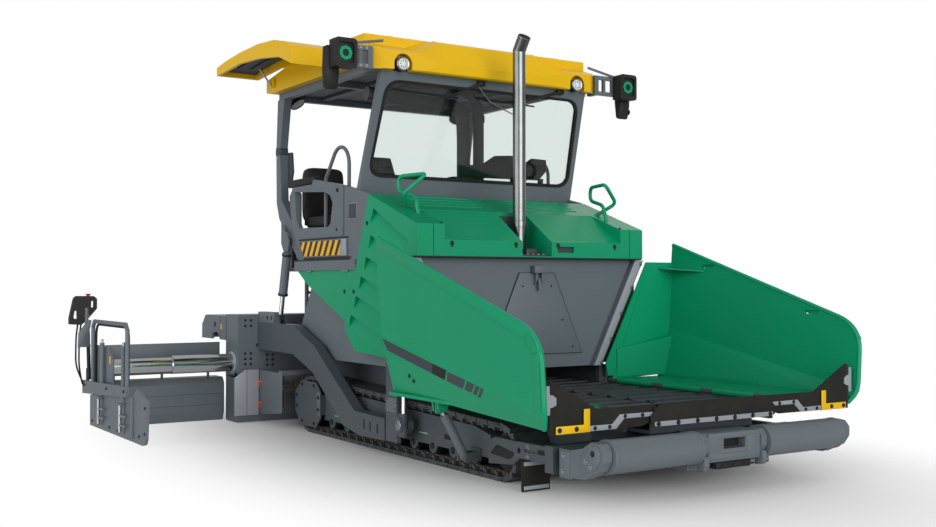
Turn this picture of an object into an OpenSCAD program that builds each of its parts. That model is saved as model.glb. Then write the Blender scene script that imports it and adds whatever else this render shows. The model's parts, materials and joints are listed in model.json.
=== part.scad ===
// Tracked road paver with a hopper, an operator's stand under a roof and a telescopic screed.
// Millimetres. +X is forward (hopper), +Y is left, +Z is up, z = 0 is the ground.

/* [Machine] */
// Half width of the covers beside the engine
cover_y = 1255; // [1150:1400]
// Half width of the grey body under the covers
body_y = 1130; // [1050:1145]
// Underside of the engine bay, which is also the roof of the material tunnel
bay_z = 765; // [740:800]
// Height of the driver's floor beam top
sill_z = 1735; // [1600:1850]

/* [Tracks] */
// Outer face of the tracks from the middle
track_y = 1140; // [1000:1160]
// Width of a track shoe
track_w = 305; // [250:305]
// Rear sprocket centre
sprocket_x = -1270; // [-1400:-1150]
// Outer radius of the track round the sprocket
sprocket_r = 286; // [250:300]
// Front idler centre
idler_x = 2130; // [1950:2200]
// Outer radius of the track round the idler
idler_r = 222; // [210:250]
// Shoes in one track loop
shoe_n = 53; // [40:60]
// Thickness of a shoe
shoe_t = 28; // [20:34]
// Thickness of the chain under the shoes
chain_t = 45; // [38:50]
// Gap between two shoes
shoe_gap = 12; // [6:20]
// How far the chain stands in from the ends of the shoes
chain_in = 70; // [50:90]

/* [Hopper] */
// Rear end of the hopper wings
wing_x0 = 1080; // [1060:1150]
// Front end of the hopper wings
wing_x1 = 3290; // [3100:3330]
// Height of the wing hinge
hinge_z = 612; // [600:640]
// Top of the wing at its rear corner
wing_z0 = 1890; // [1750:2000]
// Top of the wing at its front corner
wing_z1 = 1167; // [1050:1300]
// Half width over the wing top edges
wing_y = 1660; // [1600:1700]
// Thickness of the wing plates
wing_t = 28; // [16:34]

/* [Push rollers] */
// Roller axis from the middle of the machine
roller_x = 3385; // [3370:3420]
// Height of the roller axis
roller_z = 350; // [320:365]
// Radius of a push roller
roller_r = 115; // [90:118]
// Inner end of a push roller
roller_y0 = 330; // [300:400]
// Outer end of a push roller
roller_y1 = 1156; // [1000:1158]
// Radius of the roller axle
axle_r = 32; // [24:45]

/* [Screed] */
// Half width of the base screed
base_y = 1500; // [1400:1520]
// Outer end of an extension as it stands
ext_y = 2850; // [2700:2950]
// Front wall of the base screed
screed_x0 = -2300; // [-2330:-2260]
// Rear edge of the walkway
screed_x1 = -3450; // [-3500:-3300]
// Ground clearance of the sole as it is parked
sole_z = 6; // [4:20]
// Guide tube axis along the machine
tube_x = -2505; // [-2520:-2490]
// Height of the guide tube axis
tube_z = 650; // [640:670]
// Outer radius of the middle guide tube
tube_r1 = 97; // [90:104]
// Outer radius of the inner guide tube
tube_r2 = 80; // [70:84]

/* [Tow arms] */
// Space between a track and the tow arm beside it
arm_gap = 30; // [22:45]
// Thickness of a tow arm
arm_t = 105; // [80:108]
// Tow pivot along the machine
tow_x = 798; // [780:815]
// Height of the tow pivot
tow_z = 301; // [290:310]
// Radius of the tow pin
tow_r = 40; // [30:48]

/* [Lift cylinders] */
// Upper eye along the machine
lift_x = -1655; // [-1670:-1640]
// Height of the upper eye
lift_z = 1893; // [1870:1910]
// Rod eye along the machine
rod_eye_x = -1831; // [-1840:-1820]
// Height of the rod eye
rod_eye_z = 1150; // [1148:1156]
// Outer radius of the barrel
lift_r = 46; // [40:50]
// Radius of the rod
lift_rod_r = 25; // [20:30]

/* [Wing cylinders] */
// Where the wing cylinders stand along the machine
wcyl_x = 1745; // [1700:1800]
// Lower eye out from the track
wcyl_out = 75; // [65:85]
// Height of the lower eye
wcyl_z0 = 150; // [140:160]
// How far the cylinder leans out
wcyl_lean = 225; // [215:235]
// Height of the rod eye
wcyl_z1 = 548; // [540:556]
// Outer radius of the barrel
wcyl_r = 36; // [30:42]
// Radius of the rod
wcyl_rod_r = 20; // [16:24]

/* [Augers] */
// Auger axis along the machine
auger_x = -1970; // [-2000:-1950]
// Height of the auger axis
auger_z = 380; // [320:400]
// Radius of the auger
auger_r = 200; // [150:205]

/* [Stand and roof] */
// Underside of the roof at the windscreen
roof_z = 3448; // [3350:3500]
// Half width of the roof
roof_y = 1275; // [1150:1280]
// Outer edge of the awnings
awning_y = 1750; // [1550:1800]
// Height of the exhaust stack mouth
stack_z = 3784; // [3300:3900]
// Radius of the exhaust stack
stack_r = 60; // [45:70]
// Bend radius of the hoop beside the seat
hoop_r = 180; // [120:200]

/* [Hidden] */
$fn = 48;
fit = 0.05;
eps = 0.5;
seat = 0.3;
frame_y0 = track_y - track_w + 60;
frame_y1 = track_y - 40;
inner_t = shoe_t + chain_t;
web_y1 = track_y - track_w - 10;
web_y0 = web_y1 - 40;
conv_y = web_y0 - 15;
hinge_y = web_y1 - 25;
arm_y = track_y + arm_gap + arm_t;
wcyl_y0 = track_y + wcyl_out;
wcyl_y1 = wcyl_y0 + wcyl_lean;
loop_d = sqrt(pow(idler_x - sprocket_x, 2) + pow(idler_r - sprocket_r, 2));
loop_a = atan2(idler_r - sprocket_r, idler_x - sprocket_x);
loop_b = acos((sprocket_r - idler_r) / loop_d);
loop_up = loop_a + loop_b;
loop_line = sqrt(loop_d * loop_d - pow(sprocket_r - idler_r, 2));
rs = sprocket_r - shoe_t;
ri = idler_r - shoe_t;
arc_f = (loop_up + 90) * PI / 180 * ri;
arc_r = (270 - loop_up) * PI / 180 * rs;
loop_len = 2 * loop_line + arc_f + arc_r;
lift_len = norm([lift_x - rod_eye_x, lift_z - rod_eye_z]);
lift_ang = atan2(lift_x - rod_eye_x, lift_z - rod_eye_z);
wcyl_len = norm([wcyl_y1 - wcyl_y0, wcyl_z1 - wcyl_z0]);
wcyl_ang = atan2(wcyl_y1 - wcyl_y0, wcyl_z1 - wcyl_z0);
arm_y0 = arm_y - arm_t;
arm_mid = arm_y - arm_t / 2;
green = "#00935f";
grey = "#626a72";
yellow = "#e8b800";
rubber = "#2c2b29";
steel = "#3c3d3e";
chrome = "#c9cdd0";

// Helpers
module both() { children(); mirror([0, 1, 0]) children(); }
module left() { children(); }
module right() { mirror([0, 1, 0]) children(); }
module bx(x0, x1, y0, y1, z0, z1) { translate([x0, y0, z0]) cube([x1 - x0, y1 - y0, z1 - z0]); }
module yex(y0, y1) { translate([0, y1, 0]) rotate([90, 0, 0]) linear_extrude(y1 - y0) children(); }
module xex(x0, x1) { translate([x0, 0, 0]) rotate([90, 0, 90]) linear_extrude(x1 - x0) children(); }
module zex(z0, z1) { translate([0, 0, z0]) linear_extrude(z1 - z0) children(); }
module cyl_y(x, z, r, y0, y1) { translate([x, y1, z]) rotate([90, 0, 0]) cylinder(r = r, h = y1 - y0); }
module cyl_x(y, z, r, x0, x1) { translate([x0, y, z]) rotate([0, 90, 0]) cylinder(r = r, h = x1 - x0); }
module cyl_z(x, y, r, z0, z1) { translate([x, y, z0]) cylinder(r = r, h = z1 - z0); }
// A round bar from a to b
module bar(a, b, r) {
  v = b - a;
  translate(a) rotate([0, acos(v[2] / norm(v)), atan2(v[1], v[0])]) cylinder(r = r, h = norm(v));
}
// Round bars through a list of points with a ball at each bend
module pipe(pts, r) {
  for (i = [0:len(pts) - 2]) bar(pts[i], pts[i + 1], r);
  if (len(pts) > 2) for (i = [1:len(pts) - 2]) translate(pts[i]) sphere(r = r * 1.05);
}
// A prism over a flat outline in space, moved by off
module slab(pts, off) {
  n = len(pts);
  polyhedron(points = concat(pts, [for (p = pts) p + off]),
    faces = concat([[for (i = [0:n - 1]) i]], [[for (i = [n - 1:-1:0]) n + i]],
      [for (i = [0:n - 1]) [i, n + i, n + (i + 1) % n, (i + 1) % n]]));
}
function loop_pt(s) =
  s < loop_line ? [sprocket_x + s, shoe_t, 0] :
  s < loop_line + arc_f ? let(a = -90 + (s - loop_line) / ri * 180 / PI)
    [idler_x + ri * cos(a), idler_r + ri * sin(a), a + 90] :
  s < 2 * loop_line + arc_f ? let(q = s - loop_line - arc_f)
    [idler_x + ri * cos(loop_up) - q * sin(loop_up),
     idler_r + ri * sin(loop_up) + q * cos(loop_up), loop_up + 90] :
  let(a = loop_up + (s - 2 * loop_line - arc_f) / rs * 180 / PI)
    [sprocket_x + rs * cos(a), sprocket_r + rs * sin(a), a + 90];

// Tracks
function loop_arc(c, r, a0, a1, n) = [for (i = [0:n]) let(a = a0 + (a1 - a0) * i / n) c + r * [cos(a), sin(a)]];
module loop_2d(t) {
  polygon(concat(loop_arc([idler_x, idler_r], idler_r - t, -90, loop_up, 44),
    loop_arc([sprocket_x, sprocket_r], sprocket_r - t, loop_up, 270, 44)));
}
function loop_in(s, d) = let(p = loop_pt(s)) [p[0] - d * sin(p[2]), p[1] + d * cos(p[2])];
shoe_pitch = loop_len / shoe_n;
shoe_h = shoe_pitch / 2 - shoe_gap / 2;
shoe_line = [for (i = [0:shoe_n - 1]) let(p = loop_pt((i + 0.5) * shoe_pitch), c = [p[0], p[1]],
  t = shoe_h * [cos(p[2]), sin(p[2])], n = shoe_t * [sin(p[2]), -cos(p[2])])
  each [c - t, c - t + n, c + t + n, c + t]];
module track() {
  // Shoes joined by a thin web, cut level with the ground
  yex(track_y - track_w, track_y) intersection() {
    difference() {
      polygon(shoe_line);
      polygon([for (i = [0:2 * shoe_n - 1]) loop_in((i + 0.25) * shoe_pitch / 2, 8)]);
    }
    translate([-5000, 0]) square([10000, 2000]);
  }
  // Chain inside the shoes
  yex(track_y - track_w + chain_in, track_y - chain_in) difference() {
    polygon([for (i = [0:2 * shoe_n - 1]) loop_in((i + 0.25) * shoe_pitch / 2, 5)]);
    loop_2d(inner_t);
  }
}
module track_left() { color(steel) left() track(); }
module track_right() { color(steel) right() track(); }
module track_wheels() {
  color(grey) both() {
    difference() {
      union() {
        cyl_y(sprocket_x, sprocket_r, sprocket_r - inner_t - seat, frame_y0 + 40, frame_y1 - 40);
        cyl_y(sprocket_x, sprocket_r, 110, web_y1 + seat, frame_y0 + 50);
      }
      cyl_y(sprocket_x, sprocket_r, 120, frame_y1 - 70, frame_y1);
    }
    difference() {
      union() {
        cyl_y(idler_x, idler_r, idler_r - inner_t - seat, frame_y0 + 30, frame_y1 - 30);
        cyl_y(idler_x, idler_r, 34, frame_y0 + 22 + seat, frame_y1 - 22 - seat);
      }
    }
    for (i = [0:8]) let(x = sprocket_x + 420 + i * 320) {
      cyl_y(x, inner_t + 70 + seat, 70, frame_y0 + 30, frame_y1 - 30);
      cyl_y(x, inner_t + 70 + seat, 24, frame_y0 + 20 + seat, frame_y1 - 20 - seat);
    }
  }
}
module track_frames() {
  color(grey) both() {
    // Box beam, its side cheeks that carry the rollers, and the plate over the sprocket
    difference() {
      yex(frame_y0, frame_y1) polygon([[sprocket_x + 245, 150], [idler_x - 190, 150],
        [idler_x - 190, 2 * idler_r - inner_t - 41], [idler_x - 420, 2 * idler_r - inner_t + 9],
        [sprocket_x + 300, 2 * sprocket_r - inner_t - 29], [sprocket_x + 245, 2 * sprocket_r - inner_t - 59]]);
      yex(frame_y0 + 20, frame_y1 - 20) polygon([[sprocket_x + 200, 100], [idler_x - 150, 100],
        [idler_x - 150, 250], [sprocket_x + 200, 250]]);
    }
    // Idler fork
    bx(idler_x - 200, idler_x + 60, frame_y1 - 22, frame_y1 - 2, idler_r - 45, idler_r + 45);
    bx(idler_x - 200, idler_x + 60, frame_y0 + 2, frame_y0 + 22, idler_r - 45, idler_r + 45);
    // Sprocket guard, outside the loop, on two arms
    yex(track_y + 4, track_y + 16) polygon([[sprocket_x - 330, 200], [sprocket_x - 190, 62],
      [sprocket_x + 160, 62], [sprocket_x + 270, 170], [sprocket_x + 270, 430], [sprocket_x + 170, 519],
      [sprocket_x - 170, 519], [sprocket_x - 330, 400]]);
    bx(sprocket_x + 246, sprocket_x + 268, frame_y1 - 10, track_y + 10, 200, 400);
    // Carriers to the chassis
    for (x = [sprocket_x + 500, idler_x - 700]) bx(x, x + 260, web_y1 + seat, frame_y0 + 2, 260, 360);
  }
}

module wing_brackets() {
  color(grey) both() {
    // Foot plate on the track frame, two ears and the lower pin of the wing cylinder
    bx(wcyl_x - 66, wcyl_x + 66, frame_y1 + seat, frame_y1 + 16, wcyl_z0 - 34, wcyl_z0 + 60);
    for (x = [wcyl_x - 66, wcyl_x + 42]) yex(frame_y1 + 15, wcyl_y0 + 34) polygon([[x, wcyl_z0 - 34], [x + 24, wcyl_z0 - 34], [x + 24, wcyl_z0 + 34], [x, wcyl_z0 + 34]]);
    cyl_x(wcyl_y0, wcyl_z0, 18, wcyl_x - 72, wcyl_x + 72);
  }
}

// Chassis, body and engine
module chassis_frame() {
  color(grey) {
    both() {
      bx(-1640, 2836, web_y0, web_y1, 300, hinge_z - 42);
      // Rear legs up to the engine bay
      bx(-1400, 1000, web_y0, web_y1, hinge_z - 60, bay_z);
      // Wing hinge pin and the fixed knuckles
      cyl_x(hinge_y, hinge_z, 13, wing_x0 + 40, 3050);
      for (x = [wing_x0 + 40, wing_x0 + 640, wing_x0 + 1240, wing_x0 + 1840]) {
        cyl_x(hinge_y, hinge_z, 24, x, x + 120);
        bx(x, x + 120, hinge_y - 15, hinge_y + 15, hinge_z - 60, hinge_z);
      }
      // Front arms outside the tracks
      difference() {
        yex(track_y + 35, track_y + 85) polygon([[2430, 235], [2836, 235], [2836, 356], [2480, 356], [2430, 320]]);
        bx(2560, 2740, track_y + 70, track_y + 90, 290, 312);
        cyl_y(2490, 290, 22, track_y + 30, track_y + 90);
      }
    }
    bx(-1640, 2836, -web_y0 - 5, web_y0 + 5, 300, 318);
    bx(2836, 2930, -track_y - 106, track_y + 106, 180, 372);
    bx(2760, 2850, -web_y0 - 5, web_y0 + 5, 300, 460 - seat);
    // Front lip that carries the middle apron
    bx(2840, 3130, -520, 520, 430, 456);
    bx(3120 + seat, 3134, -520, 520, 430, 600);
    bx(3124, 3248 - seat, -520, 520, 530, 600);
    bx(-1660, -1640, -web_y1, web_y1, 300, 420);
    // Swivel block of the push beam
    difference() {
      bx(2920, 3110, -150, 150, 240, 266);
      cyl_z(3050, 0, 40 + fit, 230, 270);
    }
    // Auger gearbox in the middle
    bx(-1700, -1655, -60, 60, 305, 600);
    bx(auger_x - 60, -1690, -55, 55, auger_z - 70, auger_z + 110);
  }
}
module conveyor() {
  color(steel) both() {
    bx(-1620, 3120, 30, conv_y, 560, 575);
    for (x = [-1600:240:3080]) bx(x, x + 40, 30, conv_y, 574, 590);
    for (y = [30, conv_y - 40]) bx(-1620, 3120, y, y + 40, 460, 560.5);
  }
}
module engine_block() {
  color("#55595c") {
    bx(-300, 780, -420, 420, bay_z + 30, 1560);
    bx(-250, -150, -500, 500, bay_z + 20, bay_z + 120);
    bx(600, 700, -500, 500, bay_z + 20, bay_z + 120);
  }
}
module body_2d() {
  polygon([[-1500, bay_z], [945, bay_z], [945, 1735], [-60, 1735], [-60, 1640], [-1250, 1640], [-1250, 1500], [-1500, 1090]]);
}
module body_shell() {
  color(grey) difference() {
    yex(-body_y, body_y) body_2d();
    bx(-1470, 920, -body_y + 28, body_y - 28, bay_z + 20, 1085);
    bx(-1225, 920, -body_y + 28, body_y - 28, 1080, 1615);
    bx(-35, 920, -body_y + 28, body_y - 28, 1600, 1800);
  }
}
module hopper_back_wall() {
  color(grey) {
    xex(946, 968) polygon([[-1300, 1735], [1300, 1735], [conv_y, bay_z - 20], [-conv_y, bay_z - 20]]);
    // Bolted strips along both edges
    both() xex(967, 1028) polygon([[1190, 1735], [1300, 1735], [conv_y, bay_z - 20], [conv_y - 90, bay_z - 20]]);
    // Hatch and latch box
    xex(967, 980) polygon([[-520, 1700], [520, 1700], [330, 1010], [-330, 1010]]);
    bx(979, 1020, -90, 90, 1560, 1640);
  }
}
module hood_block() {
  difference() {
    yex(-cover_y, cover_y) polygon([[1068, 1750], [1068, 2012], [1058, 2026], [189, 2330], [-37, 2330], [-37, 1750]]);
    // Outer skin leans back along the edge of the side panel
    both() yex(1205 - seat, cover_y + 1) polygon([[-40, 1749], [-17, 1749], [197, 2335], [-40, 2335]]);
  }
}
// A slanting gill, deepest along its top edge
module gill(x, z, lean, l, h, d) {
  translate([x, cover_y, z]) rotate([0, lean, 0]) xex(0, l) polygon([[1, 0], [-d, 0], [1, -h]]);
}
module gills() {
  both() {
    gill(290, 2190, 26, 700, 150, 60);
    gill(235, 1950, 19, 720, 130, 55);
    for (i = [0:3]) gill(147 - i * 99, 1757 - i * 178, 17, 700 + i * 20, 130, 52);
  }
}
module engine_hood() {
  color(green) difference() {
    hood_block();
    // Lower middle with a sloping face between the end caps
    yex(-980, 980) polygon([[1120, 1892], [1069, 1892], [1050, 1900], [640, 2170], [640, 2500], [1120, 2500]]);
    // Recess of the stack
    bx(640, 1100, -165, 165, 1760, 2500);
    // Louvre slots across the upper deck
    both() for (i = [0:4]) let(x = 130 + i * 88) bx(x, x + 40, 200, 900, 2330 - (x - 189) * 0.353 - 60, 2600);
    // Split between the end caps and the middle, and a grip recess
    both() bx(1040, 1100, 1090, 1096, 1740, 2100);
    bx(1030, 1100, 230, 420, 1795, 1850);
    gills();
  }
}
module side_covers() {
  color(green) difference() {
    both() yex(body_y + seat, cover_y) polygon([[-61, 1640], [-273, 1150], [-266, 1077], [-77, 896], [509, 859], [946 - seat, 809], [946 - seat, 1750 - seat], [-22, 1750 - seat]]);
    gills();
  }
}
module rear_covers() {
  color(green) both() yex(body_y + seat, cover_y - 20)
    polygon([[-1377, 1641 - seat], [-68, 1641 - seat], [-281, 1148], [-320, 1170], [-1140, 1500]]);
}

// Operator's stand
module platform() {
  color(grey) {
    bx(-1900, -62, -1150, 1150, 1641, 1680);
    both() {
      bx(-1415, -62, 1150, cover_y, 1641, sill_z);
      // Rear ladder
      pipe([[-1880, 420, 1660], [-1880, 420, 900]], 22);
      pipe([[-1880, 900, 1660], [-1880, 900, 900]], 22);
      for (z = [960, 1180, 1400]) bx(-1900, -1860, 420, 900, z, z + 30);
    }
    bx(-1900, -1880, -1150, -930, 1640, 2050);
    bx(-1900, -1880, 930, 1150, 1640, 2050);
  }
}
module cab_sides() {
  color(grey) both() difference() {
    yex(1205, 1250) polygon([[-1200, sill_z + seat], [-33, sill_z + seat], [188, 2326], [139, 2345], [-303, 2442], [-976, 2545],
      [-1010, 2500], [-1480, 2500], [-1540, 2330], [-1480, 2080]]);
    yex(1190, 1260) polygon([[-1420, 2450], [-720, 2405], [-600, 2365], [-545, 2290], [-590, 2095], [-640, 2062], [-1310, 2075], [-1380, 2180]]);
    // Room for the foot of the windscreen
    ws_place() translate([0, 0, -1]) linear_extrude(62) polygon([[-1240, -40], [1240, -40], [1180, 1180], [-1180, 1180]]);
  }
}
module seats() {
  color(rubber) both() {
    bx(-1500, -1000, 620, 1120, 2080, 2200);
    bx(-1600, -1490, 640, 1100, 2150, 2720);
    bx(-1350, -1150, 760, 980, 1680, 2090);
    bx(-1558, -930, 1140, 1200, 2507, 2585);
    bx(-1520, -1440, 1090, 1150, 2450, 2530);
  }
}
module console() {
  color(grey) {
    bx(-560, -160, -620, 620, 1680, 2300);
    yex(-620, 620) polygon([[-620, 2290], [-160, 2290], [-160, 2480], [-620, 2380]]);
  }
}
module handrails() {
  color(grey) both() {
    // Hoop beside the seat: an upright leg, a bend and a slanting leg
    bar([-334, 1180, sill_z + seat], [-334, 1180, 2646], 18);
    translate([-334 - hoop_r, 1180, 2646]) rotate([90, 0, 0]) rotate_extrude(angle = 140) translate([hoop_r, 0]) circle(r = 18);
    let(e = [-334 - hoop_r + hoop_r * cos(140), 1180, 2646 + hoop_r * sin(140)], f = e - 285 * [sin(40), 0, cos(40)]) {
      bar(e, f, 18);
      translate(f) sphere(r = 19);
      bar(f, [f[0], f[1], sill_z + seat], 18);
    }
    pipe([[-1860, 1090, 1680 + seat], [-1860, 1090, 2440], [-1800, 1090, 2500], [-1700, 1090, 2500], [-1640, 1090, 2440], [-1640, 1090, 1680 + seat]], 18);
  }
}
module windscreen_2d(b) {
  polygon([[-1235 + b, 0 + b * 2.7], [1235 - b, 0 + b * 2.7], [1175 - b, 1173 - b * 1.25], [-1175 + b, 1173 - b * 1.25]]);
}
ws_tilt = 16.7;
module ws_place() { translate([-95, 0, 2346]) rotate([0, ws_tilt, 0]) rotate([90, 0, 90]) children(); }
module windscreen_frame() {
  color(grey) ws_place() linear_extrude(60) difference() { windscreen_2d(0); windscreen_2d(70); }
}
module windscreen_glass() {
  color("#9fb0a8") ws_place() translate([0, 0, 26]) linear_extrude(10) windscreen_2d(70.5);
}
module roof_plan() {
  polygon([[-2100, -roof_y], [300, -roof_y], [385, -1180], [412, -520], [412, 520], [385, 1180], [300, roof_y], [-2100, roof_y]]);
}
module roof_mid() {
  polygon([[-2100, 3560], [-2100, 3690], [-1500, 3780], [-300, 3804], [180, 3796], [285, 3760], [408, 3545], [402, roof_z + 12], [385, roof_z],
    [318, roof_z], [296, 3540 + seat], [-2000, 3540 + seat]]);
}
module roof_pod() {
  polygon([[120, 3541], [120, 3716], [330, 3645], [392, 3616], [404, 3590], [402, roof_z + 12], [385, roof_z], [318, roof_z]]);
}
module roof_turn() {
  polygon([[200, 3541], [200, 3795], [285, 3760], [408, 3545], [402, roof_z + 12], [385, roof_z], [318, roof_z]]);
}
module roof_shell() {
  color(yellow) difference() {
    intersection() {
      union() {
        yex(-570, 570) roof_mid();
        yex(-roof_y, roof_y) intersection() { roof_mid(); translate([-2200, 3400]) square([2350, 500]); }
        both() {
          yex(850, roof_y) roof_pod();
          // Slope between the middle and a lamp pod
          hull() {
            yex(850, 855) roof_pod();
            yex(560, 565) roof_turn();
          }
        }
      }
      zex(3400, 3900) roof_plan();
    }
    // Arches over the headlamps, and the seam behind the front
    both() cyl_x(1002, 3505, 92, 290, 500);
    both() bx(290, 500, 910, 1094, 3400, 3505);
    // Level underside behind the front
    bx(-2200, 298, -roof_y - 5, roof_y + 5, 3300, 3540 + seat);
  }
}
module roof_frame() {
  color(grey) {
    both() {
      bx(-1960, 245, 1120, 1190, 3470, 3540);
      // Lamp bracket, a frame of flat bars
      bx(120, 245, 1185, 1330, 3480, 3540);
      bx(200, 330, roof_y + 5, 1330, 3440, 3640);
      for (z = [3440, 3600]) bx(300, 330, 1325, 1530, z, z + 40);
      for (y = [1390, 1500]) bx(300, 330, y, y + 30, 3440, 3640);
    }
    for (x = [-1960, -900, 175]) bx(x, x + 70, -1130, 1130, 3470, 3540);
  }
}
module rear_posts() {
  color(grey) both() {
    yex(1120, 1205 - seat) polygon([[-1790, 3470 - seat], [-1960, 3470 - seat], [-2000, 2903], [-1985, 2368], [-1915, 2200], [-1410, sill_z + seat], [-1230, sill_z + seat],
      [-1200, 1800], [-1860, 2400], [-1900, 2903]]);
    // Fork of the lift cylinder
    for (y = [[arm_mid - 28, arm_mid - 17], [arm_mid + 17, arm_mid + 28]]) yex(y[0], y[1])
      polygon([[-1760, 2150], [-1560, 1960], [-1600, 1848], [-1700, 1848], [-1760, 1930]]);
    bx(-1720, -1610, arm_mid - 28, arm_mid + 28, 1985, 2050);
    cyl_y(lift_x, lift_z, 24, arm_mid - 28, arm_mid + 28);
  }
}
module awnings() {
  color(yellow) both() difference() {
    yex(roof_y + seat, awning_y) polygon([[-2330, 3735], [-2330, 3822], [-2100, 3850], [-1700, 3876], [-1200, 3880], [-800, 3850], [-560, 3795], [-420, 3735], [-400, 3700],
      [-400, 3560], [-480, 3590], [-700, 3670], [-1200, 3735], [-1700, 3765]]);
    // Hollow underside
    yex(roof_y + 45, awning_y - 35) polygon([[-2285, 3600], [-2285, 3790], [-2100, 3815], [-1700, 3840], [-1200, 3844], [-800, 3813], [-600, 3765], [-470, 3700], [-440, 3500], [-1500, 3500]]);
  }
}
module lamps() {
  color(rubber) both() {
    // Work lamp and the tapered housing behind it
    bx(330 + seat, 440, 1515, 1715, 3405, 3650);
    yex(1620, 1740) polygon([[250, 3600], [331, 3600], [331, 3360], [300, 3230], [262, 3240], [240, 3400]]);
    // Headlamp
    cyl_x(1002, 3505, 62, 306, 380);
    cyl_x(1002, 3520, 16, 245 + seat, 310);
  }
}
module exhaust_stack() {
  color(chrome) {
    cyl_z(790, 0, stack_r, 1764, stack_z - 120);
    translate([790, 0, stack_z - 120]) rotate([0, 35, 0]) cylinder(r = stack_r, h = 140);
    translate([790, 0, stack_z - 120]) sphere(r = stack_r * 1.01);
    bx(680, 900, -110, 110, 1760, 1820);
  }
}
module grab_handles() {
  color(green) difference() {
    both() pipe([[640, 1200, 2140], [675, 1200, 2440], [420, 1200, 2520], [360, 1200, 2250]], 18);
    translate([0, 0, seat]) hood_block();
  }
}
module tow_guides() {
  color(grey) both() {
    bx(567, 764, arm_y - 40, arm_y, 140, 805);
    bx(567, 764, body_y + seat, arm_y, 770, 805);
    // Slider with the tow pin
    bx(740, 880, arm_y - 30, arm_y - 6, 200, 400);
    cyl_y(tow_x, tow_z, tow_r, arm_y0 - 12, arm_y - 10);
    cyl_y(tow_x, tow_z, 66, arm_y - 30, arm_y + 4);
    // Levelling cylinder
    cyl_z(845, arm_y - 18, 18, 380, 600);
    cyl_z(845, arm_y - 18, 38, 560, 790);
    bx(740, 890, arm_y - 40, arm_y, 775, 805);
  }
}
module rubber_flaps() {
  color(rubber) {
    both() bx(2600, 2615, web_y1 + 35, track_y + 85, 8, 235 - seat);
    bx(3248, 3260, -600, 600, 517, 640);
  }
}
module limit_plates() {
  color(grey) both() {
    bx(-1745, -1715, 1155, 1360, 160, 600);
    bx(-1745, -1715, 1365, 1560, 160, 600);
    for (z = [220, 380, 540]) cyl_y(-1712, z, 14, 1340, 1385);
    bx(-1716, -1640 - seat, 700, 1200, 555, 600);
    bx(-1745, -1715, 700, 1160, 540, 600);
    // Outer bearing arm of the auger
    bx(auger_x - 40, -1740, 1245, 1275, auger_z - 60, auger_z + 60);
  }
}

// Hopper wings
module wing() {
  top_r = [wing_x0, wing_y, wing_z0];
  top_f = [wing_x1 - 120, wing_y - 30, wing_z1 + 45];
  top_c = [wing_x1, wing_y - 34, wing_z1 - 90];
  cre_r = [wing_x0, wing_y - 60, 1085];
  cre_f = [wing_x1, wing_y - 60, 640];
  bot_r = [wing_x0, 1490, 640];
  bot_f = [wing_x1 - 70, 1552, 539];
  t = [0, -wing_t, 0];
  color(green) difference() {
    union() {
      // Floor
      bx(wing_x0, wing_x1 - 60, hinge_y + 36, 1530, hinge_z - 14, hinge_z + 12);
      // Upper side, lower side
      slab([cre_r, cre_f, top_c, top_f, top_r], t);
      slab([bot_r, bot_f, cre_f, cre_r], t);
      // Rear panel
      xex(wing_x0, wing_x0 + 22) polygon([[hinge_y + 50, hinge_z], [1300, 1717], [1640, 1717], [1590, 1087], [1480, 640]]);
      // Knuckles
      for (x = [wing_x0 + 170, wing_x0 + 770, wing_x0 + 1370]) difference() {
        union() { cyl_x(hinge_y, hinge_z, 24, x, x + 460); bx(x, x + 460, hinge_y, hinge_y + 60, hinge_z - 14, hinge_z + 12); }
        cyl_x(hinge_y, hinge_z, 13 + fit, x - 5, x + 465);
      }
      // Clevis for the rod eye
      for (x = [wcyl_x - 48, wcyl_x + 28]) xex(x, x + 20) polygon([[wcyl_y1 - 40, 600], [wcyl_y1 - 40, 520], [wcyl_y1 + 40, 520], [wcyl_y1 + 60, 620]]);
      cyl_x(wcyl_y1, wcyl_z1, 18, wcyl_x - 60, wcyl_x + 60);
    }
    // Lifting slots below the top edge
    for (x = [wing_x0 + 420, wing_x0 + 1650]) let(z = wing_z0 - (wing_z0 - wing_z1) * (x - wing_x0) / (wing_x1 - wing_x0) - 70)
      bx(x, x + 150, 1500, 1800, z - 22, z + 8);
  }
}
module hopper_wing_left() { left() wing(); }
module hopper_wing_right() { right() wing(); }
module apron() {
  color(rubber) xex(3230 + seat, 3242) polygon([[1516, 508], [1516, 858], [1490, 866], [1107, 660], [540, 660], [540, 566], [700, 512], [1480, 508]]);
  color(yellow) xex(3242, 3252) polygon([[1180, 508], [1467, 508], [1467, 560], [1230, 560], [1230, 665], [1180, 665]]);
}
module wing_apron_left() { left() apron(); }
module wing_apron_right() { right() apron(); }

// Wing cylinders, drawn upright on the lower eye and then leaned out
module wcyl_place() { translate([wcyl_x, wcyl_y0, wcyl_z0]) rotate([-wcyl_ang, 0, 0]) children(); }
module wcyl_barrel() {
  color(steel) wcyl_place() {
    difference() {
      union() { cylinder(r = wcyl_r, h = wcyl_len - 70); rotate([0, 90, 0]) translate([0, 0, -26]) cylinder(r = 34, h = 52); }
      translate([0, 0, 36]) cylinder(r = wcyl_rod_r + fit, h = wcyl_len);
      rotate([0, 90, 0]) translate([0, 0, -40]) cylinder(r = 18 + fit, h = 80);
    }
  }
}
module wcyl_rod() {
  color(chrome) wcyl_place() difference() {
    union() { translate([0, 0, 38]) cylinder(r = wcyl_rod_r, h = wcyl_len - 38); translate([-22, 0, wcyl_len]) rotate([0, 90, 0]) cylinder(r = 38, h = 44); }
    translate([-40, 0, wcyl_len]) rotate([0, 90, 0]) cylinder(r = 26, h = 80);
  }
}
module wing_barrel_left() { left() wcyl_barrel(); }
module wing_barrel_right() { right() wcyl_barrel(); }
module wing_rod_left() { left() wcyl_rod(); }
module wing_rod_right() { right() wcyl_rod(); }

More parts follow.
